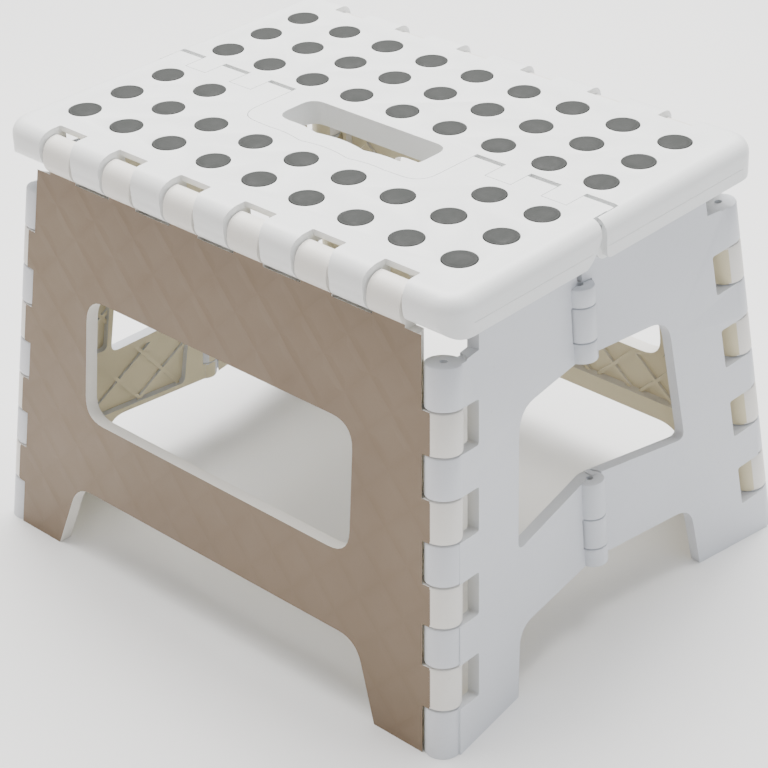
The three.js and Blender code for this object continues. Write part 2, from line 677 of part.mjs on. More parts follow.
// One half is C-shaped: an upper web and a crossbar that both reach the centre hinge.
function endOutline() {
  const { top: openTop, bottom, centreBottom, side, topRadius, bottomRadius } = END_OPENING;
  const { topDepth, centreTopDepth, cornerWidth } = END;
  const edge = (depth) => centreX(depth) - GAP / 2;
  const [stepEnd, stepStart] = END.centreStep.map((back) => edge(centreTopDepth) - back);
  const cornerTop = CORNER_KNUCKLES.end[0][0];
  const outline = [
    [0, HEIGHT + 30],
    [END_LEG.innerBottom, HEIGHT + 30],
    [END_LEG.innerTop, END_LEG.barBottom, END_LEG.fillet],
    [edge(END_LEG.barBottom), END_LEG.barBottom],
    [edge(centreBottom), centreBottom],
    [side, bottom, bottomRadius],
    [side, openTop, topRadius],
    [edge(openTop), openTop],
    [edge(centreTopDepth), centreTopDepth],
    [stepEnd, centreTopDepth, 3],
    [stepStart, topDepth, 3],
    [cornerWidth, topDepth, 3],
    [cornerWidth, cornerTop],
    [0, cornerTop],
  ];
  return rounded(outline.map(endPoint));
}

// The pockets behind the skin, kept clear of every edge by the rim.
function endPockets() {
  const { rim } = END;
  const { side, bottom, top: openTop } = END_OPENING;
  const near = CORNER_SLOT.width + rim;
  const far = (depth) => centreX(depth) - rim - 8;
  const upper = [
    [near, openTop - rim - 2],
    [far(openTop), openTop - rim - 2],
    [far(END.centreTopDepth), END.centreTopDepth + rim],
    [near, END.centreTopDepth + rim],
  ];
  const leg = [
    [near, bottom - rim],
    [side - rim, bottom - rim],
    [side - rim, openTop + rim],
    [near, openTop + rim],
  ];
  const crossbar = [
    [near, END_LEG.barBottom - rim],
    [far(bottom), END_LEG.barBottom - rim],
    [far(bottom), bottom + rim],
    [near, bottom + rim],
  ];
  const z = [CORNER_RADIUS - END.thickness - 1, CORNER_RADIUS - END.skin];
  const softened = (corners) => rounded(corners.map(([x, depth]) => endPoint([x, depth, 3])));
  return [upper, leg, crossbar].map((corners) => slab(softened(corners), z[0], z[1], END_FRAME));
}

// The rebate behind the lip of the top edge.
function topRebate() {
  const outline = [
    [-END_WIDTH, END.lipDepth],
    [2 * END_WIDTH, END.lipDepth],
    [2 * END_WIDTH, 0],
    [-END_WIDTH, 0],
  ];
  const z = [CORNER_RADIUS - END.thickness - 1, CORNER_RADIUS - END.lip];
  return slab(rounded(outline.map(endPoint)), z[0], z[1], END_FRAME);
}

// Slots beside the corner hinge in which the side panel's knuckles turn.
function cornerSlots() {
  const z = [-CORNER_RADIUS - 1, CORNER_RADIUS + 1];
  const { width, radius } = CORNER_SLOT;
  return CORNER_KNUCKLES.side.map(([from, to]) => {
    const low = upCorner(to + KNUCKLE_GAP);
    const high = upCorner(from - KNUCKLE_GAP);
    const start = -CORNER_RADIUS;
    return slab(rounded([[start, low], [width, low, radius], [width, high, radius], [start, high]]), z[0], z[1], END_FRAME);
  });
}

// A half end panel in the front right position; the rear one is its mirror image in Y with
// the other set of centre knuckles.
function endHalf(ownKnuckles, otherKnuckles, cornerBore, cornerPlay) {
  const face = CORNER_RADIUS;
  let body = slab(endOutline(), face - END.thickness, face, END_FRAME);
  body = cut(body, [...endPockets(), topRebate()]);
  const sideRoom = CORNER_KNUCKLES.side.map((range) =>
    along(cornerAt, range, CORNER_RADIUS + cornerPlay, SIDES.knuckle, KNUCKLE_GAP),
  );
  const topCorner = along(cornerAt, [0, CORNER_KNUCKLES.end[0][0]], CORNER_RADIUS + cornerPlay, SIDES.knuckle);
  const otherRoom = otherKnuckles.map((range) =>
    along(centreAt, range, CENTRE_LINE.radius + 0.8, SIDES.knuckle, KNUCKLE_GAP / 2),
  );
  body = cut(body, [...sideRoom, ...cornerSlots(), topCorner, ...otherRoom]);
  const cornerKnuckles = CORNER_KNUCKLES.end.map((range) => along(cornerAt, range, CORNER_RADIUS, SIDES.knuckle));
  const centreKnuckles = ownKnuckles.map((range) => along(centreAt, range, CENTRE_LINE.radius, SIDES.knuckle));
  body = join([body, ...cornerKnuckles, ...centreKnuckles]);
  const cornerRodPath = along(cornerAt, [20, HEIGHT + 8], cornerBore, SIDES.rod);
  const centreRodPath = along(centreAt, [30, HEIGHT - 25], ROD.bore, SIDES.rod);
  const floor = box([-CUTTER, CUTTER], [-CUTTER, CUTTER], [-CUTTER, 0]);
  return cut(body, [cornerRodPath, centreRodPath, floor]);
}

// ---- assembly -----------------------------------------------------------------------------
const stool = new THREE.Group();

function addPiece(name, body, finish, mirror = [1, 1]) {
  const geometry = geometryOf(body).toNonIndexed();
  geometry.computeVertexNormals();
  const piece = new THREE.Mesh(geometry, new THREE.MeshStandardMaterial(FINISH[finish]));
  piece.name = name;
  piece.scale.set(mirror[0], mirror[1], 1);
  stool.add(piece);
}

addPiece("seat_front_half", seatFront(), "shell");
addPiece("seat_rear_half", seatRear(), "shell");
addPiece("grip_insert_front", grip(-1), "grip");
addPiece("grip_insert_rear", grip(1), "grip");

const panel = sidePanel();
addPiece("side_panel_front", panel, "panel");
addPiece("side_panel_rear", panel, "panel", [1, -1]);

const ENDS = [["right", 1], ["left", -1]];
for (const [end, x] of ENDS) {
  const { front, rear } = CENTRE_KNUCKLES;
  const opened = end === "left";
  const rearBore = opened ? ROD.bore + OPEN_PIVOT_PLAY : ROD.bore;
  addPiece(`end_panel_${end}_front`, endHalf(front, rear, ROD.bore, KNUCKLE_PLAY), "shell", [x, 1]);
  addPiece(`end_panel_${end}_rear`, endHalf(rear, front, rearBore, KNUCKLE_PLAY), "shell", [x, -1]);
}

// Steel rods through the knuckles.
const cornerRod = along(cornerAt, [37, 214], ROD.radius, SIDES.rod);
const centrePins = { upper: [42, 77], lower: [142, 185] };
for (const [end, x] of ENDS) {
  addPiece(`corner_rod_${end}_front`, cornerRod, "steel", [x, 1]);
  addPiece(`corner_rod_${end}_rear`, cornerRod, "steel", [x, -1]);
  for (const [level, range] of Object.entries(centrePins))
    addPiece(`end_pin_${end}_${level}`, along(centreAt, range, ROD.radius, SIDES.rod), "steel", [x, 1]);
  const rod = centreRod([FINGER.edges[0] + 1.5, FINGER.edges.at(-1) - 1.5], ROD.radius, SIDES.rod);
  addPiece(`seat_centre_rod_${end}`, rod, "steel", [x, 1]);
}
const edgeRod = bar(
  new THREE.Vector3(-edgeRodEnd, -SEAT.edgeAxisY, edgeAxisZ),
  new THREE.Vector3(edgeRodEnd, -SEAT.edgeAxisY, edgeAxisZ),
  ROD.radius,
  SIDES.rod,
);
addPiece("seat_edge_rod_front", edgeRod, "steel");
addPiece("seat_edge_rod_rear", edgeRod, "steel", [1, -1]);

export default stool;
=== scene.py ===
"""Folding step stool: the finished look of each moulded piece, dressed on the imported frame.

Shapes are built in millimetres in the frame's own axes (X along the seat, -Y the front, Z up,
floor at Z = 0) and scaled to metres when a mesh is made.
"""
import math

import bmesh
import bpy
from mathutils import Matrix, Quaternion, Vector


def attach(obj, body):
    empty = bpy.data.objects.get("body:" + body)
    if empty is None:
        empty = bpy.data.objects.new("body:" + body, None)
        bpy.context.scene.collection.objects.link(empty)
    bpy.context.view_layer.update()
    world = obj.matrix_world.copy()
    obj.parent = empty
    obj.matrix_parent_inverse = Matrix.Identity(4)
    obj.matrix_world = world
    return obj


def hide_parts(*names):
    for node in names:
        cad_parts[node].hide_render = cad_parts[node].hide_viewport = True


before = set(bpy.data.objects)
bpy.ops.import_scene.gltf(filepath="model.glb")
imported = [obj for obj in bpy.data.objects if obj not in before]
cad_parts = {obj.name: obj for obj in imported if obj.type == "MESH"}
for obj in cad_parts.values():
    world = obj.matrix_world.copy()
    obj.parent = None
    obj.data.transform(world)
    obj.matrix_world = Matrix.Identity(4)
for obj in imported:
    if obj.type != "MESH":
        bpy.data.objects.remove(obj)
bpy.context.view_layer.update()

MM = 0.001

# ---- driving dimensions, in millimetres ------------------------------------------------------
HEIGHT = 220.0
GAP = 0.35
FAR = 400.0  # beyond every piece

HALF_LENGTH = 145.0
HALF_WIDTH = 106.5
SKIRT = 19.0
PLATE = 3.5
WALL = 3.0
EDGE_ROUND = 8.0
CORNER_ROUND = 13.0
CENTRE_AXIS_Z = HEIGHT - 17.0
EDGE_AXIS_Z = HEIGHT - 14.0
EDGE_AXIS_Y = 98.0
EDGE_BLOCK = 16.0
SKIRT_END_ROUND = 22.0
SKIRT_END_GAP = 2.3
LOBE_RADIUS = 8.3
LOBE_END = 96.1
EDGE_ROD_INSET = 27.0
CENTRE_ROD_INSET = 1.5
TONGUE_ROUND = 4.0

FINGER_EDGES = [58.5, 75.3, 90.6, 107.7, 122.4, 139.2]
FRONT_TIP = 4.7
REAR_ROOT = 7.7
REAR_TIP = 6.7
BARREL = 6.0
UNDERCUT = 13.2

HANDLE_X = 44.0
HANDLE_FRONT = -20.3
HANDLE_REAR = 4.6
HANDLE_ROUND = 8.0
SURROUND_X = 58.2
SURROUND_FRONT = -31.0
SURROUND_ROUND = 12.0
SURROUND_INSET = 0.4
WAVE_PITCH = 15.2
WAVE_DEPTH = 2.0
HANDLE_WALL_DEPTH = 12.0
HANDLE_WALL = 2.6

DOT_RADIUS = 7.9
DOT_GAP = 0.3
DOT_PITCH = 30.0
DOT_ROWS = [20.5, 47.4, 74.2]
DOT_COLUMNS = 4
DOT_RISE = 0.4
LIP_PROFILE = [(0, 1.6), (1.0, 1.2), (1.16, 0.75), (1.2, 0.5)]  # (up from 1 below the top, past the dot)
RIB_DEPTH = 12.0
RIB_BEHIND_ROW = 13.4
RIB_START = 34.0
RIB_XS = (-105, -45, 45, 105)
WEB_DEPTH = 3.85
WEB_THICKNESS = 1.0

EDGE_KNUCKLES = [21.0, 63.0, 105.5]
EDGE_KNUCKLE_HALF = 9.4
EDGE_KNUCKLE_RADIUS = 8.3
EDGE_KNUCKLE_CROWN = 10.8
SLOT_INNER = 93.2
SLOT_CLEAR = 0.6
SLOT_SWEEP = 12.0

SIDE_SLOPE = 0.1225
END_SLOPE = 0.0825
CORNER_X = 127.1
CORNER_Y = 92.0
CORNER_RADIUS = 8.5
APEX_RISE = CORNER_Y / SIDE_SLOPE
APEX = Vector((CORNER_X - END_SLOPE * APEX_RISE, 0, HEIGHT + APEX_RISE))
CENTRE_X = 133.9
CENTRE_DEPTH = 163.5
CENTRE_RADIUS = 7.0
CENTRE_PLAY = 0.8

SIDE_THICKNESS = 7.0
SIDE_SKIN = 2.6
SIDE_RIM = 3.2
SIDE_TOP = 15.0
POCKET_INSET = 8.0  # how far the pocket behind the skin stays inside the panel's outline, past its rim
LEG_TOP_X = 97.0
LEG_TOP_DEPTH = 182.0
LEG_FOOT_X = 113.0
LEG_ROUND = 11.0
BELOW_FLOOR = 6.0  # outlines run on below the floor, where the feet are cut off level
WINDOW_TOP_X = 88.5
WINDOW_BOTTOM_X = 90.0
WINDOW_DEPTHS = (76.5, 141.6)
WINDOW_ROUND = 13.0
END_THICKNESS = 6.0
END_SKIN = 2.4
END_RIM = 2.8
END_TOP = 20.6
END_LIP_DEPTH = 23.4
END_LIP = 3.0
END_CENTRE_TOP = 28.0
CENTRE_STEP = (9.0, 20.0)
CORNER_WIDTH = 15.0
CORNER_SLOT_ROUND = 1.5
PLANE_DEPTH = 110.0

END_KNUCKLES = [(35.5, 55.5), (76.5, 96), (117, 136.5), (157, 176), (197.5, 224)]
SIDE_KNUCKLES = [(56, 76), (96.5, 116.5), (137, 156.5), (176.5, 197)]
CENTRE_FRONT = [(41, 50), (68, 78), (141, 160), (176.5, 186)]
CENTRE_REAR = [(50.5, 67.5), (160.5, 176)]
KNUCKLE_GAP = 0.5
KNUCKLE_PLAY = 1.25
ROOM_RADIUS = CORNER_RADIUS + KNUCKLE_PLAY
CORNER_BORE_SPAN = (20, HEIGHT + 8)
CENTRE_BORE_SPAN = (30, HEIGHT - 25)
CORNER_ROD_SPAN = (37, 214)
END_PIN_SPANS = {"upper": (42, 77), "lower": (142, 185)}
ROD_RADIUS = 1.5
BORE = 1.8

LATTICE_PITCH = 19.5
LATTICE_WIDTH = 2.0
LATTICE_HEIGHT = 1.6
LATTICE_ROOT = 0.4  # how far the ribs run into the skin
LATTICE_START = -20.0
LATTICE_REACH = 170.0

SKIN_REACH = 0.05  # faces this near the outer plane count as the skin

ROUND_SIDES = 40
IDENTITY = Matrix.Identity(4)


# ---- mesh making -----------------------------------------------------------------------------
def link(obj):
    bpy.context.scene.collection.objects.link(obj)
    return obj


def raw_piece(points, faces, name="part"):
    mesh = bpy.data.meshes.new(name)
    mesh.from_pydata([Vector(p) * MM for p in points], [], faces)
    made = bmesh.new()
    made.from_mesh(mesh)
    bmesh.ops.recalc_face_normals(made, faces=made.faces)
    made.to_mesh(mesh)
    made.free()
    return link(bpy.data.objects.new(name, mesh))


def prism(outline, low, high, placed=IDENTITY):
    """An outline of (x, y) points swept along its own z and placed by a matrix."""
    count = len(outline)
    points = [placed @ Vector((x, y, z)) for z in (low, high) for x, y in outline]
    faces = [[i, (i + 1) % count, count + (i + 1) % count, count + i] for i in range(count)]
    faces.append(list(range(count))[::-1])
    faces.append(list(range(count, 2 * count)))
    return raw_piece(points, faces)


ALONG_X = Matrix(((0, 0, 1, 0), (1, 0, 0, 0), (0, 1, 0, 0), (0, 0, 0, 1)))


def beam(profile, x):
    """A (y, z) profile swept along X."""
    return prism(profile, x[0], x[1], ALONG_X)


def block(x, y, z):
    return prism([(x[0], y[0]), (x[1], y[0]), (x[1], y[1]), (x[0], y[1])], z[0], z[1])


def lathe(start, end, stations, sides=ROUND_SIDES):
    """A turned solid about a line: stations are (distance from the start, radius)."""
    axis = (end - start).normalized()
    side = axis.orthogonal().normalized()
    other = axis.cross(side)
    points = []
    for distance, radius in stations:
        for k in range(sides):
            angle = 2 * math.pi * k / sides
            outwards = side * math.cos(angle) + other * math.sin(angle)
            points.append(start + axis * distance + outwards * radius)
    faces = []
    for row in range(len(stations) - 1):
        for k in range(sides):
            near = row * sides
            after = (k + 1) % sides
            faces.append([near + k, near + after, near + sides + after, near + sides + k])
    faces.append(list(range(sides))[::-1])
    faces.append([(len(stations) - 1) * sides + k for k in range(sides)])
    return raw_piece(points, faces)


def rod(start, end, radius, sides=ROUND_SIDES):
    return lathe(start, end, [(0, radius), ((end - start).length, radius)], sides)


def barrel(start, end, radius, edge=0.8):
    """A rod whose two ends are rounded over."""
    length = (end - start).length
    turns = (math.pi / 2, math.pi / 4, 0)
    soft = [(edge * (1 - math.sin(a)), radius - edge * (1 - math.cos(a))) for a in turns]
    last = [(length - d, r) for d, r in reversed(soft)]
    return lathe(start, end, soft + last)


def rounded(corners, steps=7):
    """A closed outline with rounded corners, each given as (x, y, radius)."""
    outline = []
    count = len(corners)
    for i, corner in enumerate(corners):
        here = Vector(corner[:2])
        radius = corner[2] if len(corner) > 2 else 0
        if radius == 0:
            outline.append(tuple(here))
            continue
        before = Vector(corners[i - 1][:2])
        after = Vector(corners[(i + 1) % count][:2])
        first = here + (before - here).normalized() * radius
        last = here + (after - here).normalized() * radius
        for k in range(steps + 1):
            t = k / steps
            outline.append(tuple(first * (1 - t) ** 2 + here * 2 * t * (1 - t) + last * t * t))
    return outline


def arc(centre, radius, start, end, steps=14):
    turn = [start + (end - start) * k / steps for k in range(steps + 1)]
    return [(centre[0] + radius * math.cos(a), centre[1] + radius * math.sin(a)) for a in turn]


def together(pieces):
    """One object that holds several separate solids."""
    made = bmesh.new()
    for piece in pieces:
        made.from_mesh(piece.data)
    first = pieces[0]
    made.to_mesh(first.data)
    made.free()
    for piece in pieces[1:]:
        bpy.data.objects.remove(piece, do_unlink=True)
    return first


def combine(base, pieces, operation):
    for piece in pieces:
        change = base.modifiers.new(operation, "BOOLEAN")
        change.operation = operation
        change.solver = "MANIFOLD"
        change.object = piece
    bpy.context.view_layer.update()
    depsgraph = bpy.context.evaluated_depsgraph_get()
    mesh = bpy.data.meshes.new_from_object(base.evaluated_get(depsgraph))
    base.modifiers.clear()
    base.data = mesh
    for piece in pieces:
        bpy.data.objects.remove(piece, do_unlink=True)
    return base


def cut(base, pieces):
    return combine(base, pieces, "DIFFERENCE")


def join(base, pieces):
    return combine(base, pieces, "UNION")


def mirrored(piece, axis):
    """The mirror image of a piece in the plane across an axis (0 for X, 1 for Y)."""
    copy = piece.copy()
    copy.data = piece.data.copy()
    link(copy)
    made = bmesh.new()
    made.from_mesh(copy.data)
    for vertex in made.verts:
        vertex.co[axis] *= -1
    bmesh.ops.reverse_faces(made, faces=made.faces)
    made.to_mesh(copy.data)
    made.free()
    return copy


def flipped(piece, axis):
    """Turns a piece into its mirror image."""
    image = mirrored(piece, axis)
    bpy.data.objects.remove(piece, do_unlink=True)
    return image


def both_ends(make):
    piece = make()
    return [piece, mirrored(piece, 0)]


def soften(piece, width=0.45, segments=2, angle=38):
    """Rounds the hard edges of a moulding and shades it smooth between them."""
    made = bmesh.new()
    made.from_mesh(piece.data)
    bmesh.ops.remove_doubles(made, verts=made.verts, dist=0.00001)
    bmesh.ops.dissolve_limit(made, angle_limit=math.radians(0.6), verts=made.verts, edges=made.edges)
    made.to_mesh(piece.data)
    made.free()
    edge = piece.modifiers.new("soft edges", "BEVEL")
    edge.width = width * MM
    edge.segments = segments
    edge.limit_method = "ANGLE"
    edge.angle_limit = math.radians(angle)
    edge.use_clamp_overlap = True
    edge.harden_normals = False
    piece.data.shade_smooth()
    piece.data.set_sharp_from_angle(angle=math.radians(30))
    return piece


# ---- hinge lines -----------------------------------------------------------------------------
def corner_at(depth):
    return Vector((CORNER_X + END_SLOPE * depth, -CORNER_Y - SIDE_SLOPE * depth, HEIGHT - depth))


CENTRE_SLOPE = (CENTRE_X - APEX.x) / (APEX_RISE + CENTRE_DEPTH)


def centre_at(depth):
    return Vector((APEX.x + CENTRE_SLOPE * (APEX_RISE + depth), 0, HEIGHT - depth))


def along(line, span, radius, extra=0.0):
    return rod(line(span[0] - extra), line(span[1] + extra), radius)


def knuckle_barrel(line, span, radius, edge):
    return barrel(line(span[0]), line(span[1]), radius, edge)


# ---- seat ------------------------------------------------------------------------------------
def seat_blank():
    """The whole seat with its edge and corners rounded over, as rings from the skirt to the top."""
    steps = 8
    rings = [(0.0, HEIGHT - SKIRT)]
    for k in range(steps + 1):
        turn = math.pi / 2 * k / steps
        rings.append((EDGE_ROUND * (1 - math.cos(turn)), HEIGHT - EDGE_ROUND * (1 - math.sin(turn))))
    points = []
    for inset, z in rings:
        radius = CORNER_ROUND - inset
        x = HALF_LENGTH - inset - radius
        y = HALF_WIDTH - inset - radius
        for cx, cy, start in ((x, y, 0), (-x, y, 1), (-x, -y, 2), (x, -y, 3)):
            for px, py in arc((cx, cy), radius, start * math.pi / 2, (start + 1) * math.pi / 2, 8):
                points.append((px, py, z))
    count = len(points) // len(rings)
    faces = []
    for row in range(len(rings) - 1):
        for k in range(count):
            near = row * count
            after = (k + 1) % count
            faces.append([near + k, near + after, near + count + after, near + count + k])
    faces.append(list(range(count))[::-1])
    faces.append([(len(rings) - 1) * count + k for k in range(count)])
    return raw_piece(points, faces)


def wave(x, front, depth=WAVE_DEPTH):
    return front - depth * (1 - abs(math.cos(math.pi * x / (2 * WAVE_PITCH))))


def wave_line(front, start, end, steps=60):
    xs = [start + (end - start) * k / steps for k in range(steps + 1)]
    return [(x, wave(x, front)) for x in xs]


def surround_front(grow):
    """The scalloped front of the rear half's reach round the handle, from left to right."""
    x = SURROUND_X + grow
    y = SURROUND_FRONT - grow
    r = SURROUND_ROUND + grow
    left = rounded([(-x, 0), (-x, y, r), (0, y)])[1:-1]
    right = [(-px, py) for px, py in reversed(left)]
    return left + wave_line(y, -x + r + 10, x - r - 10) + right


def rear_plan(grow):
    """Everything that belongs to the rear half, seen from above, as one comb-shaped outline."""
    root = REAR_ROOT - grow
    tip = -REAR_TIP - grow
    e = FINGER_EDGES
    right = [(SURROUND_X + grow, root)]
    for start, end in ((e[1], e[2]), (e[3], e[4])):
        a = start + GAP - grow
        b = end - GAP + grow
        right += [(a, root), (a, tip), (b, tip), (b, root)]
    right += [(e[5] + GAP - grow, root), (e[5] + GAP - grow, tip), (FAR, tip), (FAR, FAR)]
    left = [(-x, y) for x, y in reversed(right)]
    outline = left + surround_front(grow) + right
    return prism(outline, HEIGHT - FAR, HEIGHT + 1)


def finger_spans(parity):
    spans = []
    for i in range(parity, len(FINGER_EDGES) - 1, 2):
        a, b = FINGER_EDGES[i], FINGER_EDGES[i + 1]
        spans += [(a, b), (-b, -a)]
    return spans


def shrunk(span, by):
    return (span[0] + by, span[1] - by)


def handle_outline(grow):
    x = HANDLE_X + grow
    front = HANDLE_FRONT - grow
    rear = HANDLE_REAR + grow
    r = HANDLE_ROUND + grow
    left = rounded([(-x, 0), (-x, front, r), (0, front)])[1:-1]
    right = [(-px, py) for px, py in reversed(left)]
    back = rounded([(x, 0), (x, rear, r), (-x, rear, r), (-x, 0)])[1:-1]
    return left + wave_line(front, -x + r + 1, x - r - 1) + right + back


def seat_hollow(side):
    x = HALF_LENGTH - WALL
    outer = HALF_WIDTH - EDGE_BLOCK
    outline = rounded([(-x, -outer, 5), (x, -outer, 5), (x, FAR / 2), (-x, FAR / 2)])
    if side > 0:
        outline = [(-px, -py) for px, py in outline]
    return prism(outline, HEIGHT - FAR, HEIGHT - PLATE)


def edge_underside(side):
    low = HEIGHT - SKIRT
    out = HALF_WIDTH + 1
    r = 9
    curve = rounded([(out - 1, low + r), (out - 1, low, r * 0.999), (out - 1 - r, low)])
    profile = [(out, low - 1), (out, low + r), *curve, (out - 1 - r, low - 1)]
    return beam([(side * y, z) for y, z in profile], (-FAR / 2, FAR / 2))


def edge_lobes(side):
    """Round lobes of the long edge between the side panel's knuckles."""
    y = side * EDGE_AXIS_Y
    return rod(Vector((-LOBE_END, y, EDGE_AXIS_Z)), Vector((LOBE_END, y, EDGE_AXIS_Z)), LOBE_RADIUS)


def seat_ribs(side):
    z = (HEIGHT - RIB_DEPTH, HEIGHT - PLATE + 0.5)
    outer = HALF_WIDTH - EDGE_BLOCK + 1
    span = (-HALF_LENGTH + WALL - 0.5, HALF_LENGTH - WALL + 0.5)

    def on_side(a, b):
        return (-b, -a) if side < 0 else (a, b)

    lines = [row + RIB_BEHIND_ROW for row in DOT_ROWS[:2]]
    long_ribs = [block(span, on_side(y - 1, y + 1), z) for y in lines]
    cross_ribs = [block((x - 1, x + 1), on_side(RIB_START, outer), z) for x in RIB_XS]
    return long_ribs + cross_ribs


DOT_XS = [(i - DOT_COLUMNS) * DOT_PITCH for i in range(2 * DOT_COLUMNS + 1)]


def dot_centres(side):
    centres = []
    for row in DOT_ROWS:
        for x in DOT_XS:
            under_handle = side < 0 and row == DOT_ROWS[0] and abs(x) < SURROUND_X + DOT_RADIUS
            if not under_handle:
                centres.append((x, side * row))
    return centres


def dot_holes(side):
    low = HEIGHT - WEB_DEPTH - WEB_THICKNESS - GAP
    radius = DOT_RADIUS + DOT_GAP
    centres = dot_centres(side)
    return together([rod(Vector((x, y, low)), Vector((x, y, HEIGHT + 1)), radius) for x, y in centres])


def dot_rims(side):
    """The thin raised lip that the shell has round each grip dot."""
    rims = []
    for x, y in dot_centres(side):
        start = Vector((x, y, HEIGHT - 1))
        stations = [(distance, DOT_RADIUS + extra) for distance, extra in LIP_PROFILE]
        rims.append(lathe(start, start + Vector((0, 0, 2)), stations))
    return together(rims)


def slot_cutters(side):
    """The openings in the long edge for the side panel's knuckles, flared towards the outside."""
    clear = EDGE_KNUCKLE_HALF + SLOT_CLEAR
    cutters = []
    for c in EDGE_KNUCKLES:
        for x in (c, -c):
            outline = rounded([
                (x - clear, SLOT_INNER, 0.8),
                (x + clear, SLOT_INNER, 0.8),
                (x + clear, HALF_WIDTH - 5),
                (x + clear + 1.6, HALF_WIDTH + 1),
                (x + clear + 1.6, FAR),
                (x - clear - 1.6, FAR),
                (x - clear - 1.6, HALF_WIDTH + 1),
                (x - clear, HALF_WIDTH - 5),
            ])
            outline = [(px, side * py) for px, py in outline]
            cutters.append(prism(outline, HEIGHT - FAR, HEIGHT + 1))
    sweeps = []
    for c in EDGE_KNUCKLES:
        for x in (c, -c):
            a = Vector((x - clear, side * EDGE_AXIS_Y, EDGE_AXIS_Z))
            b = Vector((x + clear, side * EDGE_AXIS_Y, EDGE_AXIS_Z))
            sweeps.append(rod(a, b, SLOT_SWEEP))
    return [together(cutters), together(sweeps)]


def edge_bore(side):
    end = HALF_LENGTH - EDGE_ROD_INSET + 0.5
    y = side * EDGE_AXIS_Y
    return rod(Vector((-end, y, EDGE_AXIS_Z)), Vector((end, y, EDGE_AXIS_Z)), BORE)


def knuckle_room(spans, side):
    y = (-UNDERCUT, FAR / 4) if side < 0 else (-FAR / 4, UNDERCUT)
    return together([block(shrunk(x, -GAP), y, (HEIGHT - FAR, HEIGHT - PLATE)) for x in spans])


def closed_knuckle():
    z = CENTRE_AXIS_Z
    profile = [(FRONT_TIP, HEIGHT - 0.5), (FRONT_TIP, z + 4)]
    profile += arc((0, z), BARREL, math.pi / 6, -math.pi, 24)
    root = -UNDERCUT - 4
    profile += [(-BARREL, z + 5), (root, HEIGHT - PLATE), (root, HEIGHT - PLATE + 1), (-6, HEIGHT - 0.5)]
    return profile


def open_hook():
    z = CENTRE_AXIS_Z
    inner = ROD_RADIUS + 0.6
    profile = [(-REAR_TIP + GAP, HEIGHT - 0.5), (-BARREL, z + 0.3)]
    profile += arc((0, z), BARREL, math.pi, math.pi * 1.72, 20)
    profile += arc((0, z), inner, math.pi * 1.72, math.pi, 12)
    profile += [(-inner, z + 8.5), (0, HEIGHT - PLATE + 1), (0, HEIGHT - 0.5)]
    return profile


def skirt_relief():
    y = -REAR_TIP - SKIRT_END_GAP
    r = SKIRT_END_ROUND
    profile = [(0, HEIGHT + 1), (y, HEIGHT + 1)]
    profile += arc((y - r, HEIGHT), r, 0, -math.pi / 2, 20)
    profile += [(y - r, HEIGHT - r - 4), (0, HEIGHT - r - 4)]
    x = (FINGER_EDGES[-1] - GAP, HALF_LENGTH + 1)
    return together([beam(profile, x), beam(profile, (-x[1], -x[0]))])


def tongue_relief():
    y, z, r = -REAR_TIP, HEIGHT - SKIRT, TONGUE_ROUND
    curve = rounded([(y, z + r), (y, z, r * 0.999), (y + r, z)])
    profile = [(y - 1, z - 1), (y - 1, z + r)] + curve + [(y + r, z - 1)]
    return beam(profile, (-FAR / 2, FAR / 2))


def centre_bores():
    start, end = FINGER_EDGES[0] - 1, FINGER_EDGES[-1] + 1
    bores = [(start, end), (-end, -start)]
    ends = [[Vector((x, 0, CENTRE_AXIS_Z)) for x in bore] for bore in bores]
    return together([rod(a, b, BORE) for a, b in ends])


def handle_wall():
    z = (HEIGHT - HANDLE_WALL_DEPTH, HEIGHT - 1)
    return prism(handle_outline(HANDLE_WALL), z[0], z[1])


def surround_wall():
    z = (HEIGHT - HANDLE_WALL_DEPTH, HEIGHT - 1)
    x = SURROUND_X - SURROUND_INSET
    outer = surround_front(-SURROUND_INSET) + [(x, 7), (-x, 7)]
    x -= HANDLE_WALL
    inner = surround_front(-SURROUND_INSET - HANDLE_WALL) + [(x, 8), (-x, 8)]
    ring = prism(outer, z[0], z[1])
    return cut(ring, [prism(inner, z[0] - 1, z[1] + 1)])


def edge_parting_line(side):
    """The fine mould line along the skirt's end faces."""
    z = HEIGHT - SKIRT + 6
    lines = []
    for s in (-1, 1):
        x = s * HALF_LENGTH
        y = (-HALF_WIDTH + CORNER_ROUND, -REAR_TIP - SKIRT_END_ROUND * 0.45)
        if side > 0:
            y = (-REAR_TIP + 1.5, HALF_WIDTH - CORNER_ROUND)
        lines.append(block((x - 0.15, x + 0.15), y, (z, z + 0.3)))
    return together(lines)


def seat_front():
    body = cut(seat_blank(), [rear_plan(GAP)])
    tips = [block(x, (FRONT_TIP, FAR / 2), (HEIGHT - FAR, HEIGHT + 1)) for x in finger_spans(0)]
    body = cut(body, [together(tips), seat_hollow(-1), edge_underside(-1)])
    body = join(body, [edge_lobes(-1), *seat_ribs(-1)])
    body = cut(body, [skirt_relief(), knuckle_room(finger_spans(1), -1)])
    body = join(body, [together([beam(closed_knuckle(), shrunk(x, GAP)) for x in finger_spans(0)])])
    body = join(body, [dot_rims(-1)])
    bores = [centre_bores(), edge_bore(-1)]
    return cut(body, [*bores, *slot_cutters(-1), dot_holes(-1), edge_parting_line(-1)])


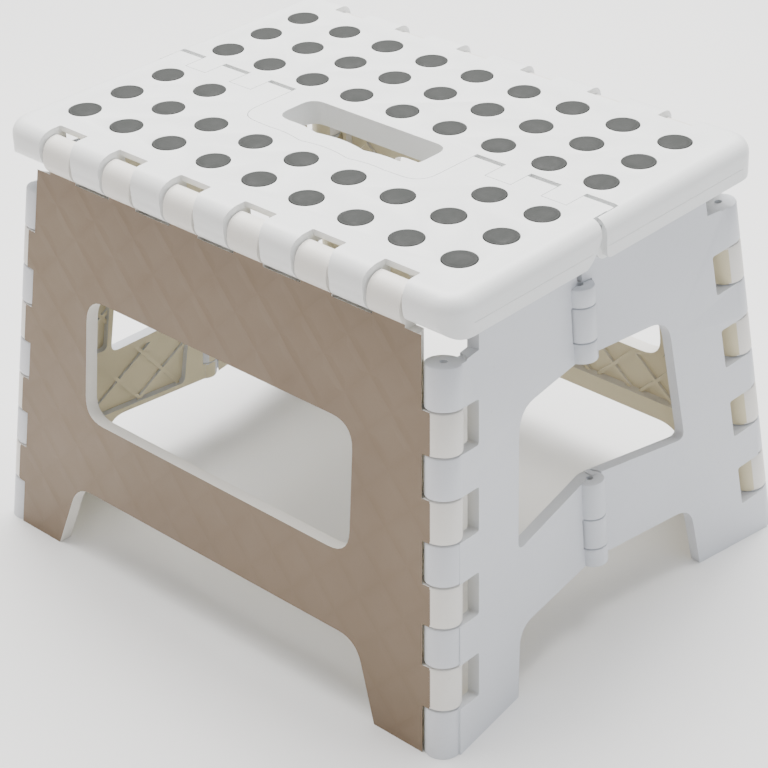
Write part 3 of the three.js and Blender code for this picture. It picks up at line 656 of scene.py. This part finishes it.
def seat_rear():
    whole = seat_blank()
    body = combine(whole, [rear_plan(0)], "INTERSECT")
    body = cut(body, [seat_hollow(1), edge_underside(1), tongue_relief()])
    body = join(body, [edge_lobes(1), *seat_ribs(1), handle_wall(), surround_wall()])
    body = cut(body, [knuckle_room(finger_spans(0), 1)])
    body = join(body, [together([beam(open_hook(), shrunk(x, GAP)) for x in finger_spans(1)])])
    body = join(body, [dot_rims(1)])
    hole = prism(handle_outline(0), HEIGHT - FAR, HEIGHT + 1)
    return cut(body, [hole, edge_bore(1), *slot_cutters(1), dot_holes(1), edge_parting_line(1)])


def grip_dots(side):
    """The rubber studs: a domed face with a pressed ring, and a plug that goes down to the web."""
    low = HEIGHT - WEB_DEPTH - WEB_THICKNESS / 2
    rise = WEB_DEPTH + WEB_THICKNESS / 2 + DOT_RISE
    r = DOT_RADIUS
    stations = [
        (0, r - 0.3),
        (0.4, r),
        (rise - 0.55, r),
        (rise - 0.25, r - 0.08),
        (rise - 0.08, r - 0.25),
        (rise, r - 0.5),
        (rise, r - 1.0),
        (rise - 0.12, r - 1.15),
        (rise - 0.12, r - 1.35),
        (rise - 0.02, r - 1.5),
        (rise, r * 0.5),
        (rise + 0.02, r * 0.1),
    ]
    studs = []
    for x, y in dot_centres(side):
        start = Vector((x, y, low))
        studs.append(lathe(start, start + Vector((0, 0, rise)), stations))
    return together(studs)


# ---- side panel ------------------------------------------------------------------------------
SIDE_TILT = math.atan(SIDE_SLOPE)
SIDE_FACE_Y = -CORNER_Y - SIDE_SLOPE * HEIGHT - CORNER_RADIUS / math.cos(SIDE_TILT)
SIDE_FRAME = Matrix.Translation((0, SIDE_FACE_Y, 0)) @ Matrix.Rotation(math.pi / 2 - SIDE_TILT, 4, "X")


def up_slope(depth):
    return (HEIGHT - depth) / math.cos(SIDE_TILT)


def side_outline(inset):
    foot = -BELOW_FLOOR - inset

    def edge(depth):
        return CORNER_X + END_SLOPE * depth - inset

    right = [
        (LEG_TOP_X + inset, up_slope(LEG_TOP_DEPTH) + inset, LEG_ROUND),
        (LEG_FOOT_X + inset, foot),
        (edge(HEIGHT), foot),
        (edge(SIDE_TOP), up_slope(SIDE_TOP) - inset),
    ]
    left = [(-c[0], *c[1:]) for c in reversed(right)]
    return rounded(right + left)


def side_opening(grow):
    low, high = up_slope(WINDOW_DEPTHS[1]) - grow, up_slope(WINDOW_DEPTHS[0]) + grow
    top, bottom, r = WINDOW_TOP_X + grow, WINDOW_BOTTOM_X + grow, WINDOW_ROUND
    return rounded([(-bottom, low, r), (bottom, low, r), (top, high, r), (-top, high, r)])


def edge_knuckle_profile():
    y, z, r = -EDGE_AXIS_Y, EDGE_AXIS_Z, EDGE_KNUCKLE_RADIUS
    crown = z + EDGE_KNUCKLE_CROWN
    profile = arc((y, z), r, -math.pi * 0.1, -math.pi, 24)
    for k in range(1, 9):
        t = k / 8
        a, b, c = Vector((y - r, z)), Vector((y - r, crown)), Vector((y + 0.5, crown))
        profile.append(tuple(a * (1 - t) ** 2 + b * 2 * t * (1 - t) + c * t * t))
    for k in range(1, 7):
        t = k / 6
        a, b, c = Vector((y + 0.5, crown)), Vector((y + 4, crown)), Vector((y + 4, z + 5))
        profile.append(tuple(a * (1 - t) ** 2 + b * 2 * t * (1 - t) + c * t * t))
    return profile


def edge_knuckle(centre):
    return beam(edge_knuckle_profile(), (centre - EDGE_KNUCKLE_HALF, centre + EDGE_KNUCKLE_HALF))


def below_floor():
    return block((-FAR, FAR), (-FAR, FAR), (-FAR, 0))


def seat_lobe_room():
    reach = EDGE_KNUCKLE_HALF
    centres = sorted([c for k in EDGE_KNUCKLES for c in (k, -k)])
    starts = [-FAR / 2] + [c + reach for c in centres]
    ends = [c - reach for c in centres] + [FAR / 2]
    rooms = []
    for a, b in zip(starts, ends):
        start = Vector((a, -EDGE_AXIS_Y, EDGE_AXIS_Z))
        rooms.append(rod(start, Vector((b, -EDGE_AXIS_Y, EDGE_AXIS_Z)), LOBE_RADIUS + KNUCKLE_PLAY))
    return together(rooms)


def lattice(width, height_range, placed, kept, opening):
    """Diagonal ribs both ways across the panel's pocket."""
    step = LATTICE_PITCH * math.sqrt(2)
    low = LATTICE_START - 5 * step
    reach = LATTICE_REACH - low
    families = []
    for turn in (-1, 1):
        bars = []
        first = -int(2 * reach / step) - 1
        for k in range(first, -first + 1):
            offset = k * step
            a = Vector((offset - turn * reach, low))
            b = Vector((offset + turn * reach, low + 2 * reach))
            across = Vector((b.y - a.y, a.x - b.x)).normalized() * width / 2
            outline = [tuple(a - across), tuple(a + across), tuple(b + across), tuple(b - across)]
            bars.append(prism(outline, height_range[0], height_range[1], placed))
        family = together(bars)
        family = combine(family, [kept()], "INTERSECT")
        families.append(cut(family, [opening()]) if opening else family)
    return families


def side_panel():
    blank = prism(side_outline(0), -SIDE_THICKNESS, 0, SIDE_FRAME)
    opening = prism(side_opening(0), -SIDE_THICKNESS - 1, 1, SIDE_FRAME)
    inset = SIDE_RIM + POCKET_INSET
    pocket = prism(side_outline(inset), -SIDE_THICKNESS - 1, -SIDE_SKIN, SIDE_FRAME)
    pocket = cut(pocket, [prism(side_opening(SIDE_RIM), -SIDE_THICKNESS - 2, 0, SIDE_FRAME)])
    body = cut(blank, [pocket, opening])
    depth = (-SIDE_SKIN - LATTICE_HEIGHT, -SIDE_SKIN + LATTICE_ROOT)
    low, high = depth[0] - 1, depth[1] + 1

    def kept():
        return prism(side_outline(inset - 1), low, high, SIDE_FRAME)

    def open_part():
        return prism(side_opening(SIDE_RIM - 0.6), low - 1, high + 1, SIDE_FRAME)

    body = join(body, lattice(LATTICE_WIDTH, depth, SIDE_FRAME, kept, open_part))
    knuckles = [
        piece
        for span in SIDE_KNUCKLES
        for piece in both_ends(lambda: knuckle_barrel(corner_at, span, CORNER_RADIUS, 1.0))
    ]
    tops = [
        piece
        for c in EDGE_KNUCKLES
        for piece in both_ends(lambda: edge_knuckle(c))
    ]
    end_room = [
        piece
        for span in END_KNUCKLES
        for piece in both_ends(lambda: along(corner_at, span, ROOM_RADIUS, KNUCKLE_GAP))
    ]
    above = (-HEIGHT, SIDE_KNUCKLES[0][0] - KNUCKLE_GAP)
    windows = both_ends(lambda: along(corner_at, above, ROOM_RADIUS))
    body = cut(body, [together(end_room), together(windows), seat_lobe_room()])
    body = join(body, [together(knuckles), together(tops)])
    bores = both_ends(lambda: along(corner_at, CORNER_BORE_SPAN, BORE))
    floor = below_floor()
    inner = block((-FAR, FAR), (-EDGE_AXIS_Y + EDGE_KNUCKLE_RADIUS + 0.5, 0), (EDGE_AXIS_Z - 12, FAR))
    return cut(body, [together(bores), edge_bore(-1), floor, inner])


# ---- end panel -------------------------------------------------------------------------------
def end_frame():
    up = (corner_at(0) - corner_at(1)).normalized()
    corner = corner_at(PLANE_DEPTH)
    reach = centre_at(PLANE_DEPTH) - corner
    reach -= up * reach.dot(up)
    span = reach.length
    across = reach.normalized()
    out = across.cross(up)
    lean = math.asin(CORNER_RADIUS / span)
    x = across * math.cos(lean) - out * math.sin(lean)
    outwards = out * math.cos(lean) + across * math.sin(lean)
    face_point = corner + outwards * CORNER_RADIUS
    y = (APEX - face_point).normalized()
    z = x.cross(y)
    origin = face_point - z * CORNER_RADIUS
    placed = Matrix((x, y, z)).transposed().to_4x4()
    placed.translation = origin
    return placed, span * math.cos(lean)


END_FRAME, END_WIDTH = end_frame()
STRETCH = (corner_at(0) - corner_at(1)).length
LEVEL_RISE = -END_FRAME[2][0] / END_FRAME[2][1]


def up_corner(depth):
    return (PLANE_DEPTH - depth) * STRETCH


END_APEX = up_corner(-APEX_RISE)


def end_point(corner):
    radius = corner[2] if len(corner) > 2 else 0
    return (corner[0], up_corner(corner[1]) + corner[0] * LEVEL_RISE, radius)


def centre_x(depth):
    return END_WIDTH * (1 - up_corner(depth) / END_APEX) / (1 + END_WIDTH * LEVEL_RISE / END_APEX)


# The window and the leg of an end half: depths below the seat top, and distances from the corner.
OPEN_TOP, OPEN_BOTTOM, OPEN_CENTRE_BOTTOM, OPEN_SIDE, BAR_BOTTOM = 78.5, 146, 141, 47, 186
END_LEG_TOP_X, END_LEG_FOOT_X = 49, 47


def end_outline():
    def edge(depth):
        return centre_x(depth) - GAP / 2

    step_end, step_start = [edge(END_CENTRE_TOP) - back for back in CENTRE_STEP]
    corners = [
        (0, HEIGHT + 30),
        (END_LEG_FOOT_X, HEIGHT + 30),
        (END_LEG_TOP_X, BAR_BOTTOM, 10),
        (edge(BAR_BOTTOM), BAR_BOTTOM),
        (edge(OPEN_CENTRE_BOTTOM), OPEN_CENTRE_BOTTOM),
        (OPEN_SIDE, OPEN_BOTTOM, 5),
        (OPEN_SIDE, OPEN_TOP, 12),
        (edge(OPEN_TOP), OPEN_TOP),
        (edge(END_CENTRE_TOP), END_CENTRE_TOP),
        (step_end, END_CENTRE_TOP, 3),
        (step_start, END_TOP, 3),
        (CORNER_WIDTH, END_TOP, 3),
        (CORNER_WIDTH, END_KNUCKLES[0][0]),
        (0, END_KNUCKLES[0][0]),
    ]
    return rounded([end_point(c) for c in corners])


def end_pockets(into=0.0):
    near = CORNER_WIDTH + END_RIM

    def far(depth):
        return centre_x(depth) - END_RIM - 8

    upper = [
        (near, OPEN_TOP - END_RIM - 2),
        (far(OPEN_TOP), OPEN_TOP - END_RIM - 2),
        (far(END_CENTRE_TOP), END_CENTRE_TOP + END_RIM),
        (near, END_CENTRE_TOP + END_RIM),
    ]
    leg = [
        (near, OPEN_BOTTOM - END_RIM),
        (OPEN_SIDE - END_RIM, OPEN_BOTTOM - END_RIM),
        (OPEN_SIDE - END_RIM, OPEN_TOP + END_RIM),
        (near, OPEN_TOP + END_RIM),
    ]
    crossbar = [
        (near, BAR_BOTTOM - END_RIM),
        (far(OPEN_BOTTOM), BAR_BOTTOM - END_RIM),
        (far(OPEN_BOTTOM), OPEN_BOTTOM + END_RIM),
        (near, OPEN_BOTTOM + END_RIM),
    ]
    z = (CORNER_RADIUS - END_THICKNESS - 1, CORNER_RADIUS - END_SKIN + into)
    return [
        prism(rounded([end_point((x, d, 3)) for x, d in corners]), z[0], z[1], END_FRAME)
        for corners in (upper, leg, crossbar)
    ]


def top_rebate():
    """The lowered inner part of the top edge, behind its outer lip."""
    left, right = -END_WIDTH, 2 * END_WIDTH
    corners = [(left, END_LIP_DEPTH), (right, END_LIP_DEPTH), (right, 0), (left, 0)]
    outline = [end_point(c)[:2] for c in corners]
    return prism(outline, CORNER_RADIUS - END_THICKNESS - 1, CORNER_RADIUS - END_LIP, END_FRAME)


def corner_slots():
    """The slots beside the corner hinge in which the side panel's knuckles turn."""
    slots = []
    for start, end in SIDE_KNUCKLES:
        low, high = up_corner(end + KNUCKLE_GAP), up_corner(start - KNUCKLE_GAP)
        r = CORNER_SLOT_ROUND
        outline = rounded([
            (-CORNER_RADIUS, low),
            (CORNER_WIDTH, low, r),
            (CORNER_WIDTH, high, r),
            (-CORNER_RADIUS, high),
        ])
        slots.append(prism(outline, -CORNER_RADIUS - 1, CORNER_RADIUS + 1, END_FRAME))
    return together(slots)


def end_half(own, other):
    """One half of the right end, in the front position."""
    body = prism(end_outline(), CORNER_RADIUS - END_THICKNESS, CORNER_RADIUS, END_FRAME)
    side_room = [along(corner_at, span, ROOM_RADIUS, KNUCKLE_GAP) for span in SIDE_KNUCKLES]
    top_corner = along(corner_at, (0, END_KNUCKLES[0][0]), ROOM_RADIUS)
    other_room = [along(centre_at, span, CENTRE_RADIUS + CENTRE_PLAY, KNUCKLE_GAP / 2) for span in other]
    body = cut(body, [*end_pockets(), top_rebate()])
    inner = CORNER_RADIUS - END_SKIN
    ribs = (inner - LATTICE_HEIGHT, inner + LATTICE_ROOT)

    def kept():
        return together(end_pockets(LATTICE_ROOT))

    body = join(body, lattice(LATTICE_WIDTH, ribs, END_FRAME, kept, None))
    body = cut(body, [together(side_room), corner_slots(), top_corner, together(other_room)])
    corner_knuckles = [knuckle_barrel(corner_at, span, CORNER_RADIUS, 1.0) for span in END_KNUCKLES]
    centre_knuckles = [knuckle_barrel(centre_at, span, CENTRE_RADIUS, 0.6) for span in own]
    body = join(body, [together(corner_knuckles), together(centre_knuckles)])
    floor = below_floor()
    corner_bore = along(corner_at, CORNER_BORE_SPAN, BORE)
    centre_bore = along(centre_at, CENTRE_BORE_SPAN, BORE)
    return cut(body, [corner_bore, centre_bore, floor])


# ---- materials -------------------------------------------------------------------------------
class Shader:
    """A small helper for building one procedural material."""

    def __init__(self, name):
        self.material = bpy.data.materials.new(name)
        self.material.use_nodes = True
        self.tree = self.material.node_tree
        self.surface = self.tree.nodes["Principled BSDF"]
        self.place = self.node("ShaderNodeTexCoord").outputs["Object"]

    def node(self, kind, **values):
        made = self.tree.nodes.new(kind)
        for key, value in values.items():
            setattr(made, key, value)
        return made

    def wire(self, source, target):
        self.tree.links.new(source, target)

    def noise(self, scale, detail=3.0, roughness=0.55):
        made = self.node("ShaderNodeTexNoise")
        made.inputs["Scale"].default_value = scale
        made.inputs["Detail"].default_value = detail
        made.inputs["Roughness"].default_value = roughness
        self.wire(self.place, made.inputs["Vector"])
        return made.outputs["Fac"]

    def math(self, operation, *inputs):
        made = self.node("ShaderNodeMath", operation=operation)
        for slot, value in zip(made.inputs, inputs):
            if isinstance(value, (int, float)):
                slot.default_value = value
            else:
                self.wire(value, slot)
        return made.outputs[0]

    def ramp(self, source, stops):
        made = self.node("ShaderNodeValToRGB")
        elements = made.color_ramp.elements
        for element, (at, colour) in zip(elements, stops):
            element.position = at
            element.color = (*colour, 1)
        for at, colour in stops[2:]:
            elements.new(at).color = (*colour, 1)
        self.wire(source, made.inputs["Fac"])
        return made.outputs["Color"]

    def range(self, source, low, high, start=0.3, end=0.7):
        made = self.node("ShaderNodeMapRange")
        for name, value in (("From Min", start), ("From Max", end), ("To Min", low), ("To Max", high)):
            made.inputs[name].default_value = value
        self.wire(source, made.inputs["Value"])
        return made.outputs["Result"]

    def bump(self, height, distance_mm, strength=1.0, under=None):
        made = self.node("ShaderNodeBump")
        made.inputs["Distance"].default_value = distance_mm * MM
        made.inputs["Strength"].default_value = strength
        self.wire(height, made.inputs["Height"])
        if under is not None:
            self.wire(under, made.inputs["Normal"])
        return made.outputs["Normal"]


def moulded_plastic(name, light, dark, roughness, quilt=0.0):
    """Satin polypropylene: fine moulding grain, faint cloudiness and scuffs, and where it is
    asked for the shallow quilting that the ribs behind leave on the outer face."""
    shader = Shader(name)
    cloud = shader.noise(14.0, 2.0)
    fine = shader.noise(900.0, 2.0)
    flow = shader.noise(60.0, 5.0, 0.65)
    colour = shader.ramp(cloud, [(0.3, dark), (0.72, light)])
    specks = shader.ramp(shader.noise(420.0, 4.0, 0.7), [(0.60, (1, 1, 1)), (0.80, (0.93, 0.92, 0.89))])
    mix = shader.node("ShaderNodeMix", data_type="RGBA", blend_type="MULTIPLY")
    mix.inputs["Factor"].default_value = 1.0
    shader.wire(colour, mix.inputs["A"])
    shader.wire(specks, mix.inputs["B"])
    tint = mix.outputs["Result"]
    normal = shader.bump(fine, 0.025)
    normal = shader.bump(flow, 0.10, under=normal)
    if quilt:
        split = shader.node("ShaderNodeSeparateXYZ")
        shader.wire(shader.place, split.inputs[0])
        lean = math.cos(SIDE_TILT)
        up = shader.math("DIVIDE", split.outputs["Z"], lean)
        cells = []
        for turn in (-1.0, 1.0):
            run = shader.math("ADD", split.outputs["X"], shader.math("MULTIPLY", up, turn))
            shift = shader.math("ADD", run, 0.02 * -turn)
            phase = shader.math("DIVIDE", shift, LATTICE_PITCH * math.sqrt(2) * MM)
            saw = shader.math("FRACT", phase)
            cells.append(shader.math("ABSOLUTE", shader.math("SUBTRACT", saw, 0.5)))
        ridge = shader.math("MAXIMUM", cells[0], cells[1])
        soft = shader.range(ridge, 0.0, 1.0, 0.30, 0.5)
        normal = shader.bump(soft, quilt, under=normal)
        # the quilting lines are also darkened in colour: painted shade along the relief
        shade = shader.ramp(soft, [(0.0, (1, 1, 1)), (1.0, (0.965, 0.95, 0.925))])
        second = shader.node("ShaderNodeMix", data_type="RGBA", blend_type="MULTIPLY")
        second.inputs["Factor"].default_value = 1.0
        shader.wire(tint, second.inputs["A"])
        shader.wire(shade, second.inputs["B"])
        tint = second.outputs["Result"]
    shader.wire(tint, shader.surface.inputs["Base Color"])
    worn = shader.range(flow, roughness - 0.05, roughness + 0.08)
    shader.wire(worn, shader.surface.inputs["Roughness"])
    shader.wire(normal, shader.surface.inputs["Normal"])
    shader.surface.inputs["IOR"].default_value = 1.49
    return shader.material


def grip_rubber():
    """Dark grey thermoplastic rubber with a fine pebbled face and dust in its grain."""
    shader = Shader("grip_rubber")
    pebble = shader.node("ShaderNodeTexVoronoi")
    pebble.inputs["Scale"].default_value = 1500.0
    shader.wire(shader.place, pebble.inputs["Vector"])
    dust = shader.noise(160.0, 4.0, 0.6)
    colour = shader.ramp(dust, [(0.32, (0.014, 0.016, 0.015)), (0.75, (0.030, 0.033, 0.031))])
    shader.wire(colour, shader.surface.inputs["Base Color"])
    normal = shader.bump(pebble.outputs["Distance"], 0.12, 0.8)
    shader.wire(normal, shader.surface.inputs["Normal"])
    shader.wire(shader.range(dust, 0.62, 0.85), shader.surface.inputs["Roughness"])
    return shader.material


def drawn_steel():
    """Bright drawn wire with fine lengthwise streaks."""
    shader = Shader("drawn_steel")
    streak = shader.noise(700.0, 3.0)
    colour = shader.ramp(streak, [(0.3, (0.42, 0.42, 0.43)), (0.7, (0.66, 0.66, 0.67))])
    shader.wire(colour, shader.surface.inputs["Base Color"])
    shader.surface.inputs["Metallic"].default_value = 1.0
    shader.wire(shader.range(streak, 0.22, 0.42), shader.surface.inputs["Roughness"])
    shader.wire(shader.bump(streak, 0.02), shader.surface.inputs["Normal"])
    return shader.material


# Two tones of each plastic, light then dark, and its roughness.
SEAT_PLASTIC = moulded_plastic("seat_plastic", (0.885, 0.90, 0.90), (0.86, 0.875, 0.875), 0.36)
SIDE_PLASTIC = moulded_plastic("side_plastic", (0.83, 0.81, 0.765), (0.80, 0.775, 0.73), 0.42)
# inward faces: rougher, with a darker yellow colour that is painted warm shade, not a colour of the
# plastic
SIDE_INNER_PAINTED_SHADE = moulded_plastic("side_plastic_inner_painted_shade", (0.72, 0.655, 0.46), (0.655, 0.585, 0.39), 0.5)
# end halves: a darker bluish grey that is painted cool light and shade; the plastic itself is near white
END_PLASTIC_PAINTED_COOL_SHADE = moulded_plastic("end_plastic_painted_cool_shade", (0.70, 0.72, 0.765), (0.665, 0.685, 0.725), 0.40)
# outer skin of the side panels: a dark warm brown that is painted warm shade; the plastic itself is near
# white
SIDE_SKIN_PAINTED_SHADE = moulded_plastic(
    "side_plastic_skin_painted_shade", (0.215, 0.152, 0.094), (0.19, 0.132, 0.08), 0.42, 0.12
)
RUBBER = grip_rubber()
STEEL = drawn_steel()


# ---- dressing --------------------------------------------------------------------------------
def dress(piece, name, body, node, material):
    piece.name = name
    piece.data.name = name
    piece.data.materials.clear()
    piece.data.materials.append(material)
    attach(piece, body)
    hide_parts(*node)
    return piece


def paint_side_shading(piece, sign):
    """Paints shade onto the broad faces of a side panel: the inward faces get a rougher finish whose
    darker yellow colour is painted warm shade, and the thin outer skin gets a dark brown painted warm
    shade that the thick knuckles do not get."""
    piece.data.materials.append(SIDE_INNER_PAINTED_SHADE)
    piece.data.materials.append(SIDE_SKIN_PAINTED_SHADE)
    outwards = SIDE_FRAME.to_3x3() @ Vector((0, 0, 1))
    plane = SIDE_FRAME.translation.copy() * MM
    outwards.y *= sign
    plane.y *= sign
    for face in piece.data.polygons:
        # the inward faces get the painted warm shade
        if face.normal.dot(outwards) < -0.6:
            face.material_index = 1
        # the outer skin faces get the dark brown painted warm shade
        on_plane = abs((face.center - plane).dot(outwards)) < SKIN_REACH * MM
        if on_plane and face.normal.dot(outwards) > 0.98:
            face.material_index = 2


def seat():
    for side, word, make in ((-1, "front", seat_front), (1, "rear", seat_rear)):
        shell = soften(make())
        dress(shell, f"seat_{word}_shell", f"seat_{word}", [f"seat_{word}_half"], SEAT_PLASTIC)
        dots = grip_dots(side)
        dots.data.shade_smooth()
        dots.data.set_sharp_from_angle(angle=math.radians(50))
        dress(dots, f"grip_dots_{word}", f"seat_{word}", [f"grip_insert_{word}"], RUBBER)


def sides():
    front = soften(side_panel(), 0.6)
    rear = mirrored(front, 1)
    for piece, word, sign in ((front, "front", 1), (rear, "rear", -1)):
        name = f"side_moulding_{word}"
        dress(piece, name, f"side_{word}", [f"side_panel_{word}"], SIDE_PLASTIC)
        paint_side_shading(piece, sign)


def paint_inside_shade(piece, turn):
    """Gives the faces of an end half that look into the stool a rougher finish whose darker yellow
    colour is painted warm shade.
    """
    piece.data.materials.append(SIDE_INNER_PAINTED_SHADE)
    inwards = -Vector((END_FRAME[0][2] * turn[0], END_FRAME[1][2] * turn[1], END_FRAME[2][2]))
    for face in piece.data.polygons:
        if face.normal.dot(inwards) > 0.9:
            face.material_index = 1


def ends():
    halves = {
        "front": soften(end_half(CENTRE_FRONT, CENTRE_REAR), 0.5),
        "rear": flipped(soften(end_half(CENTRE_REAR, CENTRE_FRONT), 0.5), 1),
    }
    for word, right in halves.items():
        left = mirrored(right, 0)
        for piece, end in ((right, "right"), (left, "left")):
            name = f"end_moulding_{end}_{word}"
            dress(piece, name, f"end_{end}_{word}", [f"end_panel_{end}_{word}"], END_PLASTIC_PAINTED_COOL_SHADE)
            paint_inside_shade(piece, (1 if end == "right" else -1, 1 if word == "front" else -1))


def place_rod(name, body, node, start, end):
    piece = barrel(start, end, ROD_RADIUS, 0.4)
    piece.data.shade_smooth()
    piece.data.set_sharp_from_angle(angle=math.radians(50))
    dress(piece, name, body, [node], STEEL)


def rods():
    for end, x in (("right", 1), ("left", -1)):
        flip = Vector((x, 1, 1))
        for word, y in (("front", 1), ("rear", -1)):
            turn = Vector((x, y, 1))
            node = f"corner_rod_{end}_{word}"
            start, stop = [corner_at(depth) * turn for depth in CORNER_ROD_SPAN]
            place_rod(f"{node}_steel", f"side_{word}", node, start, stop)
        for level, span in END_PIN_SPANS.items():
            node = f"end_pin_{end}_{level}"
            start, stop = [centre_at(depth) * flip for depth in span]
            place_rod(f"{node}_steel", f"end_{end}_front", node, start, stop)
        start = Vector((x * (FINGER_EDGES[0] + CENTRE_ROD_INSET), 0, CENTRE_AXIS_Z))
        stop = Vector((x * (FINGER_EDGES[-1] - CENTRE_ROD_INSET), 0, CENTRE_AXIS_Z))
        place_rod(f"seat_centre_rod_{end}_steel", "seat_front", f"seat_centre_rod_{end}", start, stop)
    reach = HALF_LENGTH - EDGE_ROD_INSET
    for word, y in (("front", -1), ("rear", 1)):
        start = Vector((-reach, y * EDGE_AXIS_Y, EDGE_AXIS_Z))
        stop = Vector((reach, y * EDGE_AXIS_Y, EDGE_AXIS_Z))
        place_rod(f"seat_edge_rod_{word}_steel", f"side_{word}", f"seat_edge_rod_{word}", start, stop)


# ---- surroundings ----------------------------------------------------------------------------
def floor():
    size = 3000
    rows = 12
    points = []
    for j in range(rows + 1):
        for i in range(rows + 1):
            points.append(((i / rows - 0.5) * 2 * size, (j / rows - 0.5) * 2 * size, -0.05))
    faces = []
    for j in range(rows):
        for i in range(rows):
            a = j * (rows + 1) + i
            faces.append([a, a + 1, a + rows + 2, a + rows + 1])
    ground = raw_piece(points, faces, "ground")
    shader = Shader("ground_paper")
    colour = shader.ramp(shader.noise(3.0, 2.0), [(0.3, (0.90, 0.90, 0.90)), (0.7, (0.93, 0.93, 0.93))])
    shader.wire(colour, shader.surface.inputs["Base Color"])
    shader.surface.inputs["Roughness"].default_value = 0.9
    ground.data.materials.append(shader.material)


def area_light(name, place, target, width, power, colour):
    data = bpy.data.lights.new(name, "AREA")
    data.shape = "SQUARE"
    data.size = width
    data.energy = power
    data.color = colour
    lamp = link(bpy.data.objects.new(name, data))
    lamp.location = place
    lamp.rotation_mode = "QUATERNION"
    lamp.rotation_quaternion = (Vector(target) - Vector(place)).to_track_quat("-Z", "Y")


def lights():
    middle = (0, 0, 0.12)
    area_light("top_soft", (-0.3, 0.35, 1.5), middle, 1.4, 80.0, (1.0, 0.99, 0.97))
    area_light("right_cool", (1.5, 0.2, 0.7), middle, 1.0, 3.0, (0.80, 0.87, 1.0))
    area_light("front_warm", (-0.5, -1.3, 0.25), middle, 0.8, 1.6, (1.0, 0.64, 0.38))
    world = bpy.data.worlds.new("studio")
    bpy.context.scene.world = world
    world.use_nodes = True
    backdrop = world.node_tree.nodes["Background"]
    backdrop.inputs["Color"].default_value = (1.0, 1.0, 1.0, 1.0)
    backdrop.inputs["Strength"].default_value = 0.5


CAMERA_PLACE = (0.6797, -0.6966, 0.6628)
CAMERA_AIM = (0.0485, -0.0487, 0.12)
CAMERA_ROLL = math.radians(-2.14)


def camera():
    data = bpy.data.cameras.new("camera")
    data.sensor_width = 36
    data.lens = 106.3
    viewer = link(bpy.data.objects.new("camera", data))
    viewer.location = CAMERA_PLACE
    aim = Vector(CAMERA_AIM)
    roll = Quaternion((0, 0, 1), CAMERA_ROLL)
    viewer.rotation_mode = "QUATERNION"
    viewer.rotation_quaternion = (aim - viewer.location).to_track_quat("-Z", "Y") @ roll
    bpy.context.scene.camera = viewer


camera()
lights()
floor()
seat()
sides()
ends()
rods()
